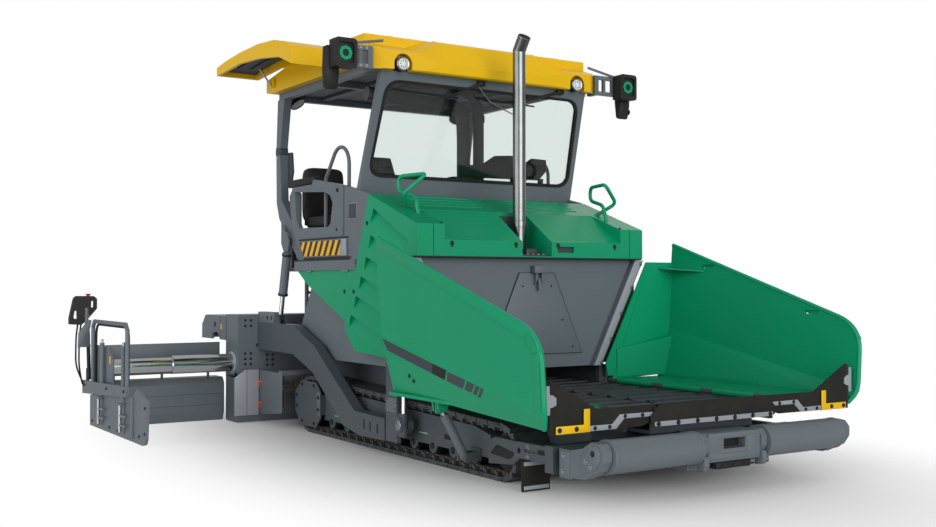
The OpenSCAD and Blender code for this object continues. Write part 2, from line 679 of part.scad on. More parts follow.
// Push beam
module push_beam() {
  color(grey) {
    bx(3005, 3130, -1246, 1246, 172, 234);
    both() {
      yex(400, 1246) polygon([[3005, 172], [3130, 172], [3130, 372], [3005, 372]]);
      // Roller end brackets, rounded in front
      for (y = [[roller_y1 + 6, 1246], [roller_y0 - 68, roller_y0 - 8]]) yex(y[0], y[1])
        polygon([[3005, 180], [3270, 190], [3420, 262], [3468, 330], [3470, 400], [3430, 446], [3350, 452], [3260, 400], [3130, 372], [3005, 372]]);
      cyl_y(roller_x, roller_z, axle_r, roller_y0 - 20, roller_y1 + 20);
    }
    bx(3005, 3300, -roller_y0 + 8, roller_y0 - 8, 172, 234);
    // Middle box with a pocket
    difference() {
      yex(-roller_y0 + 60, roller_y0 - 60) polygon([[3170, 200], [3440, 240], [3452, 300], [3452, 430], [3430, 446], [3170, 446]]);
      bx(3380, 3460, -110, 110, 330, 405);
    }
    cyl_z(3050, 0, 40, 200, 290);
  }
}
module roller() {
  color("#4a5058") difference() {
    cyl_y(roller_x, roller_z, roller_r, roller_y0, roller_y1);
    cyl_y(roller_x, roller_z, axle_r + fit, roller_y0 - 5, roller_y1 + 5);
  }
}
module push_roller_left() { left() roller(); }
module push_roller_right() { right() roller(); }

// Screed
module tow_arms() {
  color(grey) both() {
    difference() {
      union() {
        yex(arm_y0, arm_y) polygon([[screed_x0 - 30, 1092], [-1423, 1088], [-900, 900], [-40, 345], [540, 330], [540, 135], [40, 130], [-270, 190], [-940, 640], [-1400, 790], [-1725, 796], [screed_x0 - 30, 796]]);
        yex(arm_y0, arm_y - 46) polygon([[500, 135], [820, 225], [870, 280], [870, 330], [820, 385], [500, 330]]);
        // Lug of the rod eye
        for (y = [[arm_mid - 44, arm_mid - 26], [arm_mid + 26, arm_mid + 44]]) yex(y[0], y[1])
          polygon([[rod_eye_x - 70, 1080], [rod_eye_x + 70, 1080], [rod_eye_x + 34, rod_eye_z + 34], [rod_eye_x - 34, rod_eye_z + 34]]);
      }
      cyl_y(tow_x, tow_z, tow_r + fit, arm_y0 - 5, arm_y);
    }
    cyl_y(rod_eye_x, rod_eye_z, 22, arm_mid - 50, arm_mid + 50);
  }
}
module screed_base() {
  color(grey) {
    // Front beam with the sole
    yex(-base_y, base_y) polygon([[screed_x0, 120], [screed_x0 - 60, sole_z], [screed_x0 - 175, sole_z], [screed_x0 - 175, 470], [screed_x0 - 60, 520], [screed_x0, 440]]);
    // Upper frame with the tube housings
    difference() {
      bx(-2690, screed_x0 - 30 - seat, -base_y, base_y, 492, 1170);
      both() cyl_y(tube_x, tube_z, tube_r1 + fit, 200, base_y + 10);
    }
    bx(screed_x0 - 120, screed_x0 - 40, -base_y, base_y, 440, 540);
    // Walkway
    bx(screed_x1, -2680, -base_y + 20, base_y - 20, 890, 925);
    both() bx(screed_x1, -2680, base_y - 60, base_y - 40, 870, 900);
  }
}
module extension() {
  color(grey) {
    yex(base_y + 12, ext_y) polygon([[-2490, 110], [-2530, sole_z], [-2900, sole_z], [-2900, 380], [-2770, 480], [-2540, 480], [-2490, 420]]);
    bx(-2745, -2725, base_y + 12, ext_y, 470, 860);
    yex(ext_y - 26, ext_y) polygon([[-2320, 480], [-2320, 740], [-2420, 860], [-2860, 860], [-2860, 300], [-2420, 300]]);
    cyl_y(tube_x, tube_z, tube_r2, 1930, ext_y - 10);
  }
}
module extension_left() { left() extension(); }
module extension_right() { right() extension(); }
module mid_tube() {
  color(chrome) difference() {
    cyl_y(tube_x, tube_z, tube_r1, 1250, 2180);
    cyl_y(tube_x, tube_z, tube_r2 + fit, 1240, 2190);
  }
}
module mid_tube_left() { left() mid_tube(); }
module mid_tube_right() { right() mid_tube(); }
module end_plate() {
  color(grey) {
    yex(ext_y + seat, ext_y + 26) polygon([[-3050, sole_z], [-1200, sole_z], [-1130, 24], [-1096, 70], [-1060, 430], [-1390, 515], [-1500, 440], [-3050, 330]]);
    // Beam with the height spindles
    yex(ext_y + 25, ext_y + 58) polygon([[-3250, 330], [-3250, 470], [-1620, 520], [-1620, 420]]);
    for (x = [-2560, -1790]) cyl_z(x, ext_y + 34, 24, 60, 900);
    // Guard rail
    pipe([[-1660, ext_y + 36, 440], [-1660, ext_y + 36, 1060], [-1720, ext_y + 36, 1115], [-2840, ext_y + 36, 1115], [-2900, ext_y + 36, 1060], [-2900, ext_y + 36, 400]], 21);
  }
}
module end_plate_left() { left() end_plate(); }
module end_plate_right() { right() end_plate(); }
module desk() {
  color(rubber) {
    yex(ext_y + 14, ext_y + 25 - seat) polygon([[-3230, 330], [-3120, 330], [-3120, 560], [-3150, 600], [-3200, 600], [-3230, 560]]);
    pipe([[-3175, ext_y + 4, 480], [-3175, ext_y + 4, 1140]], 20);
    yex(ext_y - 170, ext_y + 58) polygon([[-3280, 1100], [-3330, 1130], [-3250, 1390], [-3190, 1390], [-3130, 1330], [-3150, 1110]]);
  }
}
module screed_desk_left() { left() desk(); }
module screed_desk_right() { right() desk(); }

// Lift cylinders, drawn hanging from the upper eye and then leaned back
module lift_place() { translate([lift_x, arm_mid, lift_z]) rotate([0, lift_ang, 0]) rotate([180, 0, 0]) children(); }
module lift_barrels() {
  color(grey) both() lift_place() difference() {
    union() {
      translate([0, 0, 58]) cylinder(r = lift_r, h = 462);
      translate([-30, -15, 0]) cube([60, 30, 70]);
      rotate([90, 0, 0]) translate([0, 0, -15]) cylinder(r = 44, h = 30);
    }
    translate([0, 0, 90]) cylinder(r = lift_rod_r + fit, h = 600);
    rotate([90, 0, 0]) translate([0, 0, -60]) cylinder(r = 24 + fit, h = 120);
  }
}
module lift_rods() {
  color(chrome) both() lift_place() difference() {
    union() { translate([0, 0, 300]) cylinder(r = lift_rod_r, h = lift_len - 300); translate([0, 22, lift_len]) rotate([90, 0, 0]) cylinder(r = 42, h = 44); }
    translate([0, 40, lift_len]) rotate([90, 0, 0]) cylinder(r = 27, h = 80);
  }
}

// Augers
module auger() {
  color(steel) {
    cyl_y(auger_x, auger_z, 45, 55 + seat, 1245 - seat);
    for (i = [0:4]) translate([auger_x, 170 + i * 240, auger_z]) rotate([90 + 18, 0, 0]) translate([0, 0, -8]) cylinder(r = auger_r - 4, h = 16);
  }
}
module auger_left() { left() auger(); }
module auger_right() { right() auger(); }

chassis_frame();
track_frames();
wing_brackets();
track_wheels();
track_left();
track_right();
conveyor();
engine_block();
body_shell();
hopper_back_wall();
engine_hood();
side_covers();
rear_covers();
platform();
cab_sides();
seats();
console();
handrails();
windscreen_frame();
windscreen_glass();
roof_shell();
roof_frame();
rear_posts();
awnings();
lamps();
exhaust_stack();
grab_handles();
tow_guides();
rubber_flaps();
limit_plates();
hopper_wing_left();
hopper_wing_right();
wing_apron_left();
wing_apron_right();
wing_barrel_left();
wing_barrel_right();
wing_rod_left();
wing_rod_right();
push_beam();
push_roller_left();
push_roller_right();
tow_arms();
screed_base();
lift_barrels();
lift_rods();
extension_left();
extension_right();
end_plate_left();
end_plate_right();
screed_desk_left();
screed_desk_right();
mid_tube_left();
mid_tube_right();
auger_left();
auger_right();
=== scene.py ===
"""Tracked road paver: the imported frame, dressed with finishes and fine pieces.

The shared frame has X forward, Y to the left, Z up and the ground at zero. Meshes are
in metres, and the sub-assemblies give their places in millimetres. The camera sees the
half of the machine on the negative Y side.
"""

from __future__ import annotations

import json
import logging
import math
from dataclasses import dataclass
from enum import Enum
from typing import Any, Dict, Iterable, List, Optional, Sequence, Tuple

import bmesh
import bpy
from mathutils import Matrix, Vector
from mathutils.bvhtree import BVHTree

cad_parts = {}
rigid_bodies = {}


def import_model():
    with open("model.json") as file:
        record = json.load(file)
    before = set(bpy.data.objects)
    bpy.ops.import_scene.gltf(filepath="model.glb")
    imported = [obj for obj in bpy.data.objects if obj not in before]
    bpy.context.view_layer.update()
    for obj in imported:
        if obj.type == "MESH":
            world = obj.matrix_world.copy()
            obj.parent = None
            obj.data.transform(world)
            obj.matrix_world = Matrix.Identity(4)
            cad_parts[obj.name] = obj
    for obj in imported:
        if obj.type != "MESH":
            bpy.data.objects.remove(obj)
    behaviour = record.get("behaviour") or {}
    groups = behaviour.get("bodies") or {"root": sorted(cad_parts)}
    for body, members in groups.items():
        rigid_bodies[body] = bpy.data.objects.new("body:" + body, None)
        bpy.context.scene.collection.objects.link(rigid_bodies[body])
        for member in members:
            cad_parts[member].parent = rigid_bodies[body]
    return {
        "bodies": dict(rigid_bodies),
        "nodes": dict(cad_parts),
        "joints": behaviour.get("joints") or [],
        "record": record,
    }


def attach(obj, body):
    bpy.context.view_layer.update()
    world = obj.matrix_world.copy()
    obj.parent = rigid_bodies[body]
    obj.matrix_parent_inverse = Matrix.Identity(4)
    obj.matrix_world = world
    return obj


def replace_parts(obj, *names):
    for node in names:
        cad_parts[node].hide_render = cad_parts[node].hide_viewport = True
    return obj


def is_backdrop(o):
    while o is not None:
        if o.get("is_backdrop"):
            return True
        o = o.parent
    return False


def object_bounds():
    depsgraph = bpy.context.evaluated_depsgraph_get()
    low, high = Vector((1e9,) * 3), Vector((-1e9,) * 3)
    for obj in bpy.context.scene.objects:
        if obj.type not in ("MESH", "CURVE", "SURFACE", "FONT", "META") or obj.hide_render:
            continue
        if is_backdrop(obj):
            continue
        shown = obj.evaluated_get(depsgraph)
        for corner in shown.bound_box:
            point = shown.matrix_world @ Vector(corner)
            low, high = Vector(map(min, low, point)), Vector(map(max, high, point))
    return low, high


LOG = logging.getLogger("paver")
Point = Sequence[float]
Outline = Sequence[Point]
FORWARD, OUTWARD, UPWARD = (1, 0, 0), (0, 1, 0), (0, 0, 1)
# How far dark inlays stand out of the sheet they lie on, in millimetres: seams, and the painted shade that
# stands in for slots, holes and recesses
INLAY = 1.5


class Side(Enum):
    """The two sides of the machine, by the sign of Y."""

    LEFT = 1
    RIGHT = -1

    @property
    def word(self) -> str:
        """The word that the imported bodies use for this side."""
        return self.name.lower()


def linear(colour: str) -> Tuple[float, float, float, float]:
    """Turns an sRGB hex colour to linear RGBA.

    Args:
        colour: A colour such as "#00905F".

    Returns:
        Red, green, blue and an alpha of one.
    """
    parts = [int(colour[i : i + 2], 16) / 255 for i in (1, 3, 5)]
    red, green, blue = (c / 12.92 if c <= 0.04045 else ((c + 0.055) / 1.055) ** 2.4 for c in parts)
    return red, green, blue, 1.0


def fill_inputs(tree: bpy.types.NodeTree, node: bpy.types.Node, inputs: Dict[Any, Any]) -> None:
    """Links or sets a node's inputs.

    Args:
        tree: The node tree of a material or world.
        node: The node.
        inputs: Socket name or number to a value, or to an output to link from.
    """
    for key, value in inputs.items():
        if isinstance(value, bpy.types.NodeSocket):
            tree.links.new(value, node.inputs[key])
        else:
            node.inputs[key].default_value = value


def add_node(
    tree: bpy.types.NodeTree, kind: str, inputs: Dict[Any, Any], output: Any = 0, **settings: Any
) -> bpy.types.NodeSocket:
    """Adds one shader node.

    Args:
        tree: The node tree of a material or world.
        kind: The node's type name, without its prefix.
        inputs: Socket name or number to a value, or to an output to link from.
        output: The name or number of the output that is asked for.
        **settings: Attributes of the node.

    Returns:
        The output that was asked for.
    """
    node = tree.nodes.new(f"ShaderNode{kind}")
    for key, value in settings.items():
        setattr(node, key, value)
    fill_inputs(tree, node, inputs)
    return node.outputs[output]


class Bench:
    """One node material in the making, on Object coordinates."""

    def __init__(self, name: str) -> None:
        """Starts a material.

        Args:
            name: The material's name.
        """
        self.material = bpy.data.materials.new(name)
        self.material.use_nodes = True
        self.tree = self.material.node_tree
        self.shader = self.tree.nodes["Principled BSDF"]
        self.place = self.add("TexCoord", {}, "Object")

    def add(
        self, kind: str, inputs: Dict[Any, Any], output: Any = 0, **settings: Any
    ) -> bpy.types.NodeSocket:
        """Adds one node to this material and gives an output of it."""
        return add_node(self.tree, kind, inputs, output, **settings)

    def noise(self, size_mm: float, detail: float, place: Any = None) -> bpy.types.NodeSocket:
        """Noise with features of about this size in millimetres."""
        where = self.place if place is None else place
        return self.add("TexNoise", {"Vector": where, "Scale": 1000.0 / size_mm, "Detail": detail})

    def span(
        self, value: Any, start: float, end: float, low: float = 0.0, high: float = 1.0
    ) -> bpy.types.NodeSocket:
        """Turns values from low to high into values from start to end."""
        return self.add("MapRange", {0: value, 1: low, 2: high, 3: start, 4: end})

    def mix(self, factor: Any, first: Any, second: Any) -> bpy.types.NodeSocket:
        """Mixes two colours by a factor; each is a hex colour or a socket."""
        pair = [linear(c) if isinstance(c, str) else c for c in (first, second)]
        return self.add("Mix", {0: factor, 6: pair[0], 7: pair[1]}, 2, data_type="RGBA")

    def math(self, operation: str, *values: Any) -> bpy.types.NodeSocket:
        """Works out one operation on values or sockets."""
        return self.add("Math", dict(enumerate(values)), operation=operation)

    def bump(self, height: Any, strength: float, depth_mm: float = 2.0) -> bpy.types.NodeSocket:
        """A bumped normal from a height."""
        return self.add("Bump", {"Height": height, "Strength": strength, "Distance": depth_mm / 1000})

    def done(self, inputs: Dict[str, Any]) -> bpy.types.Material:
        """Fills the shader's inputs and gives the material."""
        fill_inputs(self.tree, self.shader, inputs)
        return self.material


@dataclass(frozen=True)
class Enamel:
    """Two-pack enamel sprayed on steel sheet.

    The eye sees an even half gloss with a faint orange peel, a slow change of tone
    over a panel, and grey road dust that gathers low down.
    """

    name: str
    colour: str
    shade: str
    roughness: float = 0.36
    # Real orange peel is 2 to 3 mm; it is drawn coarser so that it shows
    peel_mm: float = 11.0
    cloud_mm: float = 900.0
    speck_mm: float = 90.0
    dust: str = "#8D877B"
    dust_share: float = 0.1
    dust_span: Tuple[float, float] = (0.05, 1.0)
    specular: float = 0.3

    def material(self) -> bpy.types.Material:
        """Builds the node material.

        Returns:
            The material.
        """
        bench = Bench(self.name)
        tone = bench.mix(bench.noise(self.cloud_mm, 4.0), self.colour, self.shade)
        height = bench.add("SeparateXYZ", {0: bench.place}, 2)
        low = bench.span(height, self.dust_share, 0.0, *self.dust_span)
        speck = bench.noise(self.speck_mm, 6.0)
        return bench.done(
            {
                "Base Color": bench.mix(bench.math("MULTIPLY", low, speck), tone, self.dust),
                "Roughness": bench.span(speck, self.roughness - 0.05, self.roughness + 0.07),
                "Normal": bench.bump(bench.noise(self.peel_mm, 2.0), 0.05),
                "Specular IOR Level": self.specular,
            }
        )


@dataclass(frozen=True)
class BareSteel:
    """Steel with no paint: rolled, cast, drawn or plated.

    The eye sees a metal sheen broken by fine drawn lines along one axis and by dull
    patches where dirt or scale sits.
    """

    name: str
    colour: str
    patch: str
    roughness: float
    metallic: float = 1.0
    patch_mm: float = 60.0
    patch_share: float = 0.7
    # Drawn lines are 0.2 mm apart; they are drawn about 6 mm apart so that they show
    line_mm: float = 6.0
    stretch: Tuple[float, float, float] = (1.0, 1.0, 1.0)
    bump: float = 0.12

    def material(self) -> bpy.types.Material:
        """Builds the node material.

        Returns:
            The material.
        """
        bench = Bench(self.name)
        turned = bench.add("Mapping", {"Vector": bench.place, "Scale": self.stretch})
        lines = bench.noise(self.line_mm, 3.0, turned)
        share = bench.span(bench.noise(self.patch_mm, 6.0), 0.0, self.patch_share, 0.38, 0.7)
        smooth = max(0.03, self.roughness - 0.08)
        return bench.done(
            {
                "Base Color": bench.mix(share, self.colour, self.patch),
                "Roughness": bench.span(lines, smooth, self.roughness + 0.08),
                "Normal": bench.bump(lines, self.bump), "Metallic": self.metallic,
            }
        )


@dataclass(frozen=True)
class Rubber:
    """Ply rubber and moulded plastic: dull, finely grained, greyer where it is rubbed."""

    name: str
    colour: str
    rubbed: str
    roughness: float = 0.7
    # The moulded grain is about 1 mm; it is drawn coarser so that it shows
    grain_mm: float = 5.0
    worn_mm: float = 220.0
    bump: float = 0.15
    specular: float = 0.25

    def material(self) -> bpy.types.Material:
        """Builds the node material.

        Returns:
            The material.
        """
        bench = Bench(self.name)
        worn = bench.noise(self.worn_mm, 7.0)
        grain = bench.add("TexVoronoi", {"Vector": bench.place, "Scale": 1000.0 / self.grain_mm})
        dull = min(1.0, self.roughness + 0.1)
        return bench.done(
            {
                "Base Color": bench.mix(bench.span(worn, 0.0, 1.0, 0.4, 0.75), self.colour, self.rubbed),
                "Roughness": bench.span(worn, self.roughness - 0.1, dull),
                "Normal": bench.bump(grain, self.bump, 1.5), "Specular IOR Level": self.specular,
            }
        )


@dataclass(frozen=True)
class Pane:
    """Float glass or clear polycarbonate: clear, faintly tinted, with a thin film of dust."""

    name: str
    tint: str
    roughness: float = 0.02
    film_mm: float = 300.0
    refraction: float = 1.45

    def material(self) -> bpy.types.Material:
        """Builds the node material.

        Returns:
            The material.
        """
        bench = Bench(self.name)
        film = bench.noise(self.film_mm, 5.0)
        return bench.done(
            {
                "Base Color": linear(self.tint),
                "Roughness": bench.span(film, self.roughness, self.roughness + 0.03),
                "Transmission Weight": 1.0, "IOR": self.refraction,
            }
        )


@dataclass(frozen=True)
class HazardPaint:
    """Reflective sheet with slanting yellow and black bars, 62 mm wide each."""

    name: str
    light: str
    dark: str
    bar_mm: float = 62.0
    lean: float = 0.6
    scuff_mm: float = 35.0
    rubbed: str = "#77746C"

    def material(self) -> bpy.types.Material:
        """Builds the node material.

        Returns:
            The material.
        """
        bench = Bench(self.name)
        along = bench.add("SeparateXYZ", {0: bench.place}, 0)
        height = bench.add("SeparateXYZ", {0: bench.place}, 2)
        slide = bench.math("MULTIPLY_ADD", height, -self.lean, along)
        part = bench.math("FRACT", bench.math("DIVIDE", slide, 2 * self.bar_mm / 1000))
        stripes = bench.mix(bench.math("GREATER_THAN", part, 0.5), self.light, self.dark)
        scuff = bench.noise(self.scuff_mm, 6.0)
        rub = bench.span(scuff, 0.0, 0.22, 0.5, 0.8)
        return bench.done(
            {
                "Base Color": bench.mix(rub, stripes, self.rubbed),
                "Roughness": bench.span(scuff, 0.38, 0.55),
            }
        )


GREEN = Enamel("green_enamel", "#00986A", "#008F62", dust_share=0.04)
GREY = Enamel("anthracite_enamel", "#666F76", "#5D666D", roughness=0.42)
# Painted shade: the anthracite enamel drawn darker for the frames, arms, covers and other low parts, which
# lie in shade under the machine
SHADED_GREY = Enamel("dark_anthracite_enamel", "#4C555B", "#444C52", roughness=0.46)
YELLOW = Enamel("yellow_enamel", "#ECBE00", "#E2B200", dust_share=0.0)
ORANGE = Enamel("orange_enamel", "#E06A10", "#C85C0C", dust_share=0.1)
RED = Enamel("red_moulding", "#C01818", "#A81414", roughness=0.3, dust_share=0.0)
MID_GREY = Enamel("silver_grey_enamel", "#9DA2AA", "#8D939B", roughness=0.4)
STRIPE = Enamel("dark_grey_vinyl", "#3E434B", "#383D44", roughness=0.45, dust_share=0.1)
TRACK_STEEL = BareSteel(
    "rolled_track_steel", "#606366", "#3E4042", 0.5, metallic=0.7, patch_mm=45, bump=0.3
)
FLOOR_STEEL = BareSteel(
    "scuffed_wear_plate", "#434A4F", "#2F3438", 0.55, metallic=0.3, patch_mm=180, stretch=(0.1, 1.0, 1.0)
)
CHROME = BareSteel(
    "hard_chrome", "#D4D7DA", "#C4C8CC", 0.1, patch_share=0.3, stretch=(1, 1, 0.05), bump=0.03
)
STAINLESS = BareSteel(
    "drawn_stainless_tube", "#7C807F", "#626665", 0.24, patch_mm=240, stretch=(1.0, 1.0, 0.03), bump=0.05
)
ZINC = BareSteel("zinc_plated_steel", "#A9ADB0", "#8B8F92", 0.38, patch_mm=30, bump=0.06)
WORN_STEEL = BareSteel("worn_steel", "#8A857B", "#4A4640", 0.42, metallic=0.75, patch_mm=40)
DARK_STEEL = BareSteel("blackened_steel", "#34363A", "#26282B", 0.48, metallic=0.6, patch_mm=70)
BLACK_RUBBER = Rubber("ply_rubber", "#1F1F1B", "#2A2925", roughness=0.78)
BLACK_PLASTIC = Rubber("black_moulding", "#1D1D1C", "#282827", roughness=0.5, bump=0.1)
VINYL = Rubber("seat_vinyl", "#232322", "#2F2F2D", roughness=0.55, grain_mm=7.0)
HOSE = Rubber("hydraulic_hose", "#191918", "#242422", roughness=0.6)
GLASS = Pane("float_glass", "#B2BAB7")
PANEL = Enamel("dark_panel_enamel", "#3F464D", "#383F45", roughness=0.5, dust_share=0.0)
REFLECTOR = Enamel("lamp_reflector", "#E9EBEC", "#DCDFE1", roughness=0.2, dust_share=0.0)
DUCT = Rubber("duct_moulding", "#4A4B47", "#575853", roughness=0.55)
HAZARD = HazardPaint("hazard_sheet", "#F0B400", "#1B1C1E")

CAD_FINISH: Dict[Any, str] = {
    SHADED_GREY: "chassis_frame track_frames wing_brackets tow_guides limit_plates tow_arms",
    GREY: "body_shell hopper_back_wall platform cab_sides handrails windscreen_frame roof_frame rear_posts"
    " wing_barrel push_beam push_roller screed_base lift_barrels extension end_plate",
    GREEN: "engine_hood side_covers rear_covers grab_handles hopper_wing",
    YELLOW: "roof_shell awnings",
    DARK_STEEL: "track_wheels engine_block auger",
    TRACK_STEEL: "track",
    FLOOR_STEEL: "conveyor",
    STAINLESS: "exhaust_stack",
    CHROME: "wing_rod lift_rods mid_tube",
    BLACK_PLASTIC: "console lamps screed_desk",
    BLACK_RUBBER: "rubber_flaps wing_apron",
    VINYL: "seats",
    GLASS: "windscreen_glass",
}
FINISH_OF = {node: finish for finish, nodes in CAD_FINISH.items() for node in nodes.split()}


class Paintshop:
    """Builds each finish once and gives its material."""

    def __init__(self) -> None:
        """Starts with no material built."""
        self._made: Dict[str, bpy.types.Material] = {}

    def of(self, finish: Any) -> bpy.types.Material:
        """The material of a finish."""
        if finish.name not in self._made:
            self._made[finish.name] = finish.material()
        return self._made[finish.name]

    def dress_frame(self, nodes: Dict[str, bpy.types.Object]) -> None:
        """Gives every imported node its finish.

        Args:
            nodes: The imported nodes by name.
        """
        for name, node in nodes.items():
            material = self.of(FINISH_OF[name.removesuffix("_left").removesuffix("_right")])
            if not node.data.materials:
                node.data.materials.append(material)
            for index in range(len(node.data.materials)):
                node.data.materials[index] = material
        LOG.info("dressed %d nodes", len(nodes))


SHOP = Paintshop()


def link_new(name: str, data: Any) -> bpy.types.Object:
    """Makes an object from its data and links it to the scene.

    Args:
        name: The object's name.
        data: Its mesh, light or camera.

    Returns:
        The object.
    """
    made = bpy.data.objects.new(name, data)
    bpy.context.scene.collection.objects.link(made)
    return made


class Workpiece:
    """One mesh in the making, delivered as a piece that rides on a body."""

    # Edges that turn by less than this, in radians, are left as they are
    FLAT_ANGLE = 0.3
    # Cuts of a pad's edges, and rounds of smoothing that crown it
    PAD_CUTS, PAD_ROUNDS = 9, 7
    # Thickness of a bolt's washer in metres, and the washer's and head end's share of the head's radius
    WASHER, WASHER_SHARE, HEAD_SHARE = 0.002, 1.4, 0.92

    def __init__(self, name: str, body: str, finish: Any) -> None:
        """Starts an empty mesh.

        Args:
            name: The piece's name.
            body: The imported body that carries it.
            finish: The finish it is dressed in.
        """
        self.name = name
        self.body = body
        self.finish = finish
        self.mesh = bmesh.new()

    def _bevel(self, edges: Iterable[bmesh.types.BMEdge], width: float, steps: int) -> None:
        """Rounds these edges.

        Args:
            edges: The edges.
            width: The width of the rounding in metres.
            steps: The number of facets across it.
        """
        bmesh.ops.bevel(
            self.mesh, geom=list(edges), offset=width, offset_type="OFFSET", affect="EDGES", segments=steps,
            profile=0.5, material=-1, clamp_overlap=True,
        )

    def _soften(self, verts: Iterable[bmesh.types.BMVert], width: float, steps: int) -> None:
        """Rounds every edge between these vertices that isn't nearly flat."""
        edges = {e for v in verts for e in v.link_edges if len(e.link_faces) == 2}
        self._bevel({e for e in edges if e.calc_face_angle(0.0) > self.FLAT_ANGLE}, width, steps)

    def block(
        self, low: Point, high: Point, bevel: float = 0.0, place: Optional[Matrix] = None, steps: int = 2
    ) -> "Workpiece":
        """Adds a box with rounded edges.

        Args:
            low: Its lowest corner.
            high: Its highest corner.
            bevel: The width of the rounded edges.
            place: A turn and shift that is applied after it is made.
            steps: Segments of the rounded edges.

        Returns:
            This workpiece.
        """
        lo, hi = Vector(low), Vector(high)
        verts = bmesh.ops.create_cube(self.mesh, size=1.0)["verts"]
        bmesh.ops.scale(self.mesh, vec=hi - lo, verts=verts)
        bmesh.ops.translate(self.mesh, vec=(lo + hi) / 2, verts=verts)
        if place is not None:
            bmesh.ops.transform(self.mesh, matrix=place, verts=verts)
        if bevel > 0:
            self._soften(verts, bevel, steps)
        return self

    def boxes(self, rows: Sequence[Point], bevel: float = 0.0) -> "Workpiece":
        """Adds boxes, all in millimetres.

        Args:
            rows: The lowest and the highest corner of each box, as six numbers.
            bevel: The width of the rounded edges.

        Returns:
            This workpiece.
        """
        for row in rows:
            self.block(mm(*row[:3]), mm(*row[3:]), bevel / 1000)
        return self

    def rod(
        self,
        start: Point,
        end: Point,
        radius: float,
        end_radius: Optional[float] = None,
        segments: int = 24,
        bevel: float = 0.0,
    ) -> "Workpiece":
        """Adds a round bar or cone between two points.

        Args:
            start: The middle of its first end.
            end: The middle of its other end.
            radius: Its radius at the start.
            end_radius: Its radius at the end, when it differs.
            segments: Sides of the bar.
            bevel: The width of rounded rims.

        Returns:
            This workpiece.
        """
        a, b = Vector(start), Vector(end)
        turn = (b - a).to_track_quat("Z", "Y").to_matrix().to_4x4()
        verts = bmesh.ops.create_cone(
            self.mesh, cap_ends=True, segments=segments, radius1=radius,
            radius2=radius if end_radius is None else end_radius, depth=(b - a).length,
            matrix=Matrix.Translation((a + b) / 2) @ turn,
        )["verts"]
        if bevel > 0:
            edges = {e for v in verts for e in v.link_edges}
            self._bevel({e for e in edges if any(len(f.verts) == segments for f in e.link_faces)}, bevel, 2)
        return self

    def plate(
        self, outline: Outline, thick: Point, bevel: float = 0.0, holes: Sequence[Outline] = ()
    ) -> "Workpiece":
        """Adds a flat plate of any outline, with holes.

        Args:
            outline: The corners of one face, in order.
            thick: The way and distance to the other face.
            bevel: The width of rounded edges, on plates without holes.
            holes: The corners of each hole, in order.

        Returns:
            This workpiece.
        """
        loops = []
        for loop in [outline, *holes]:
            verts = [self.mesh.verts.new(Vector(p)) for p in loop]
            loops.append(
                [self.mesh.edges.new((verts[i], verts[(i + 1) % len(verts)])) for i in range(len(verts))]
            )
        if holes:
            filled = bmesh.ops.triangle_fill(
                self.mesh, use_beauty=True, edges=[e for loop in loops for e in loop]
            )
            faces = [g for g in filled["geom"] if isinstance(g, bmesh.types.BMFace)]
        else:
            faces = bmesh.ops.contextual_create(self.mesh, geom=loops[0])["faces"]
        made = bmesh.ops.extrude_face_region(self.mesh, geom=faces, use_keep_orig=True)
        moved = [g for g in made["geom"] if isinstance(g, bmesh.types.BMVert)]
        bmesh.ops.translate(self.mesh, vec=Vector(thick), verts=moved)
        if bevel > 0 and not holes:
            self._soften({v for f in faces for v in f.verts} | set(moved), bevel, 2)
        return self

    def panel(
        self,
        across: Across,
        level: float,
        points: Outline,
        depth: float,
        bevel: float = 0.0,
        holes: Sequence[Outline] = (),
        reach: float = 0.0,
    ) -> "Workpiece":
        """Adds a plate that lies across an axis, all in millimetres.

        Args:
            across: The axis that it lies across.
            level: The place of its first face along the axis.
            points: The corners of its outline.
            depth: The way along the axis to its other face.
            bevel: The width of rounded edges, on plates without holes.
            holes: The corners of each hole.
            reach: The length of each corner that is rounded off.

        Returns:
            This workpiece.
        """
        loops = [across.stand(level, loop) for loop in (points, *holes)]
        if reach > 0:
            loops = [rounded_loop(loop, reach / 1000) for loop in loops]
        return self.plate(loops[0], across.way(depth), bevel / 1000, loops[1:])

    def cushion(self, low: Point, high: Point) -> "Workpiece":
        """Adds a crowned pad that pulls in towards its corners.

        Args:
            low: Its lowest corner.
            high: Its highest corner.

        Returns:
            This workpiece.
        """
        start = len(self.mesh.verts)
        self.block(low, high)
        self.mesh.edges.ensure_lookup_table()
        edges = self.mesh.edges[:]
        bmesh.ops.subdivide_edges(self.mesh, edges=edges, cuts=self.PAD_CUTS, use_grid_fill=True)
        self.mesh.verts.ensure_lookup_table()
        verts = self.mesh.verts[start:]
        for _ in range(self.PAD_ROUNDS):
            bmesh.ops.smooth_vert(
                self.mesh, verts=verts, factor=0.5, use_axis_x=True, use_axis_y=True, use_axis_z=True
            )
        return self

    def tube(self, route: Outline, radius: float, bend: float = 0.0, segments: int = 14) -> "Workpiece":
        """Adds a bent tube along a route.

        Args:
            route: The corners of its middle line.
            radius: Its radius.
            bend: The length of each corner that is rounded off.
            segments: Sides of the tube.

        Returns:
            This workpiece.
        """
        points = rounded(route, bend)
        previous: Optional[List[bmesh.types.BMEdge]] = None
        up = Vector((0, 0, 1))
        for i, point in enumerate(points):
            before = points[max(i - 1, 0)]
            after = points[min(i + 1, len(points) - 1)]
            way = (after - before).normalized()
            across = way.cross(up)
            if across.length < 1e-3:
                across = way.cross(Vector((1, 0, 0)))
            across.normalize()
            up = across.cross(way).normalized()
            turn = Matrix((across, up, way)).transposed().to_4x4()
            ring = bmesh.ops.create_circle(
                self.mesh, cap_ends=i in (0, len(points) - 1), radius=radius, segments=segments,
                matrix=Matrix.Translation(point) @ turn,
            )["verts"]
            edges = [
                e
                for e in {e for v in ring for e in v.link_edges}
                if all(v in ring for v in e.verts)
            ]
            if previous is not None:
                bmesh.ops.bridge_loops(self.mesh, edges=previous + edges)
            previous = edges
        return self

